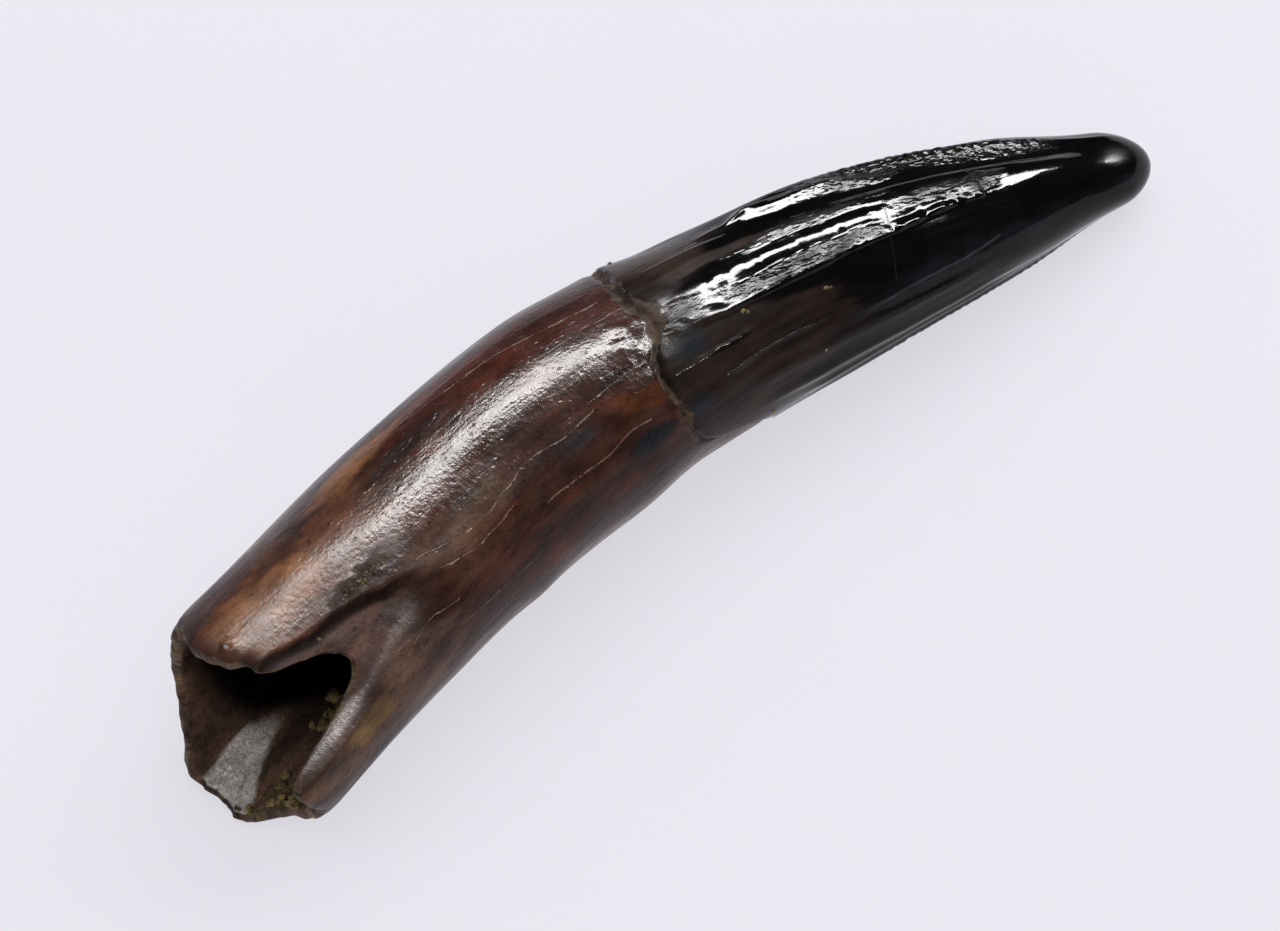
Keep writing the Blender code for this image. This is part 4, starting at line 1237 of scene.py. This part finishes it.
def crumbSeats(random):
    # where each crumb sits, which way is up there and its radius: normal draws about the
    # middle of its cluster and a uniform draw for the radius, in the order of the clusters
    centres, normals, sizes = [], [], []
    for cluster in crumbs["clusters"]:
        count, limit = cluster["count"], crumbs["spreadLimit"]
        along = cluster["at"][0] + cluster["spread"][0] * random.normal(size=count).clip(-limit, limit)
        angle = cluster["at"][1] + cluster["spread"][1] * random.normal(size=count).clip(-limit, limit)
        size = random.uniform(*cluster["size"], size=count)
        inside = cluster["on"] == "cavity"
        along = np.maximum(along, rimAt(angle) + crumbs["fromRim"] * size)
        radius = (cavityRadius if inside else skinRadius)(along, angle, grainAt(along, angle))
        middle = place(along, angle, radius)
        outward = middle - place(along, angle, 0.0 * radius)
        outward /= np.linalg.norm(outward, axis=-1, keepdims=True)
        up = -outward if inside else outward
        lift = size * crumbs["liftInside" if inside else "liftOutside"]
        centres.append(middle + up * lift[:, None])
        normals.append(up)
        sizes.append(size)
    return np.concatenate(centres), np.concatenate(normals), np.concatenate(sizes)


def crumbMesh(shift):
    # each crumb is a ball on a small grid of latitude and longitude, its radius dented by
    # noise, then stretched two ways and flattened onto the surface that it is stuck to
    random = np.random.default_rng(crumbs["seed"])
    centres, normals, sizes = crumbSeats(random)
    rows, columns = crumbs["grid"]
    tilt, turn = np.meshgrid(np.linspace(0, np.pi, rows)[1:-1],
                             np.arange(columns) * 2 * np.pi / columns, indexing="ij")
    ball = np.stack([np.sin(tilt) * np.cos(turn), np.sin(tilt) * np.sin(turn), np.cos(tilt)], -1)
    ball = np.concatenate([ball.reshape(-1, 3), [[0, 0, 1.0], [0, 0, -1.0]]])
    apart = crumbs["noiseApart"] * np.arange(len(sizes))[:, None, None]
    dented = ball * (1.0 + noiseAt(ball + apart, crumbs["dents"]))[..., None]
    aside = np.cross(normals, crumbs["turnedTo"])
    aside /= np.linalg.norm(aside, axis=-1, keepdims=True)
    third = np.cross(normals, aside)
    stretch = random.uniform(*crumbs["stretch"], size=(len(sizes), 2))
    points = (dented[..., :1] * (aside * stretch[:, :1])[:, None]
              + dented[..., 1:2] * (third * stretch[:, 1:])[:, None]
              + dented[..., 2:] * crumbs["flatness"] * normals[:, None])
    points = (points * sizes[:, None, None] + centres[:, None]).reshape(-1, 3)
    points[:, 2] = np.maximum(points[:, 2], 0.0)
    first = np.arange(len(sizes))[:, None, None] * len(ball)
    quads = (closedQuads(rows - 2, columns) + first).reshape(-1, 4)
    caps = (endFans(rows - 2, columns) + first).reshape(-1, 3)
    mesh = meshFrom("sedimentCrumbs", points, shift, quads, caps)
    mesh.validate()
    return mesh


def crumbFinish():
    # olive and brown grains, rough, with their own fine grit
    material, tree, shader = newMaterial("sediment")
    where = addNode(tree, "ShaderNodeTexCoord").outputs["Object"]
    mixed = remap(tree, noise(tree, where, crumbs["mixScale"]), *crumbs["mixSpan"])
    colour = blend(tree, mixed, rgba(crumbs["otherTone"]), rgba(crumbs["tone"]))
    tree.links.new(colour, shader.inputs["Base Color"])
    fine = noise(tree, where, crumbs["fineScale"])
    tree.links.new(remap(tree, fine, 0.3, 0.7, *crumbs["rough"]), shader.inputs["Roughness"])
    shader.inputs["IOR"].default_value = crumbs["ior"]
    inputs = {"Strength": 1.0, "Distance": crumbs["fineDepth"] * mm, "Height": fine}
    bump = addNode(tree, "ShaderNodeBump", inputs)
    tree.links.new(bump.outputs[0], shader.inputs["Normal"])
    return material


crumbPiece = addObject("sedimentCrumbs", crumbMesh(shift))
crumbPiece.data.materials.append(crumbFinish())
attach(crumbPiece, "root")
print("crumbs:", len(crumbPiece.data.polygons), "faces")


studio = {
    "floorSize": 1.2, "floorTone": (0.87, 0.86, 0.92), "floorGlow": 0.70,
    "floorCloudScale": 90.0, "floorDimmest": 0.97, "floorRough": 0.95,
    "ambient": 0.66, "ambientTone": (1.0, 0.985, 1.03),
    "keyFrom": (0.33, 0.57, 0.75),                  # to the right, away and up, as the camera sees it
    "keySize": (0.310, 0.062), "keyDistance": 0.25,
    "keyRadiance": 3.8, "glossRadiance": 76.0,
    "glossAhead": 0.004,                            # the gloss box stands this far in front
    "azimuth": -39.8, "elevation": 55.0, "lens": 180.0, "distance": 0.150,
    "aim": (11.86, 0.21, 2.0),                      # mm, before the tooth is centred
}


def makeFloor():
    # a flat pale square that partly glows, with a faint cloudiness
    half = studio["floorSize"] / 2
    floorMesh = bpy.data.meshes.new("floor")
    floorMesh.from_pydata([(-half, -half, 0), (half, -half, 0), (half, half, 0), (-half, half, 0)],
                          [], [(0, 1, 2, 3)])
    material, tree, shader = newMaterial("paleFloor")
    where = addNode(tree, "ShaderNodeTexCoord").outputs["Object"]
    soft = remap(tree, noise(tree, where, studio["floorCloudScale"], 4.0), 0.3, 0.7)
    lit = [(1.0 - studio["floorGlow"]) * value for value in studio["floorTone"]]
    dim = [studio["floorDimmest"] * value for value in lit]
    tree.links.new(blend(tree, soft, (*dim, 1.0), (*lit, 1.0)), shader.inputs["Base Color"])
    shader.inputs["Emission Color"].default_value = (*studio["floorTone"], 1.0)
    shader.inputs["Emission Strength"].default_value = studio["floorGlow"]
    shader.inputs["Roughness"].default_value = studio["floorRough"]
    shader.inputs["Specular IOR Level"].default_value = 0.0
    floorMesh.materials.append(material)
    addObject("floor", floorMesh)


def makeLight(name, radiance, inDiffuse, facing, right, middle, distance):
    # a flat soft box; a lamp's power is its radiance times pi times its area
    lamp = bpy.data.lights.new(name, "AREA")
    lamp.shape = "RECTANGLE"
    lamp.size, lamp.size_y = studio["keySize"]
    lamp.energy = radiance * np.pi * lamp.size * lamp.size_y
    box = addObject(name, lamp)
    box.location = middle + facing * distance
    long = (right - facing * right.dot(facing)).normalized()
    box.rotation_euler = Matrix((long, facing.cross(long), facing)).transposed().to_euler()
    box.visible_diffuse = inDiffuse
    box.visible_camera = False


def makeStudio(shift):
    # the camera looks at the aim from its azimuth and elevation; one box lights the skin and a
    # brighter one in the same place is seen only in the gloss; the world fills the shadows
    azimuth, elevation = np.radians([studio["azimuth"], studio["elevation"]])
    right = Vector((np.cos(azimuth), np.sin(azimuth), 0.0))
    away = Vector((-np.sin(azimuth), np.cos(azimuth), 0.0))
    back = Vector((0, 0, np.sin(elevation))) - away * np.cos(elevation)
    aim = Vector((np.array(studio["aim"]) + shift) * mm)
    lens = bpy.data.cameras.new("camera")
    lens.lens, lens.sensor_width = studio["lens"], 36.0
    lens.clip_start, lens.clip_end = 0.001, 10.0
    camera = addObject("camera", lens)
    camera.location = aim + back * studio["distance"]
    camera.rotation_euler = back.to_track_quat("Z", "Y").to_euler()
    bpy.context.scene.camera = camera

    sideways, beyond, up = studio["keyFrom"]
    facing = (right * sideways + away * beyond + Vector((0, 0, up))).normalized()
    far = studio["keyDistance"]
    near = far - studio["glossAhead"]
    makeLight("softBox", studio["keyRadiance"], True, facing, right, aim, far)
    makeLight("glossBox", studio["glossRadiance"], False, facing, right, aim, near)

    world = bpy.data.worlds.new("studio")
    world.use_nodes = True
    background = world.node_tree.nodes["Background"]
    background.inputs[0].default_value = (*studio["ambientTone"], 1.0)
    background.inputs[1].default_value = studio["ambient"]
    world.cycles_visibility.glossy = False
    bpy.context.scene.world = world
    bpy.context.scene.view_settings.view_transform = "Standard"


makeFloor()
makeStudio(shift)
print("studio set")
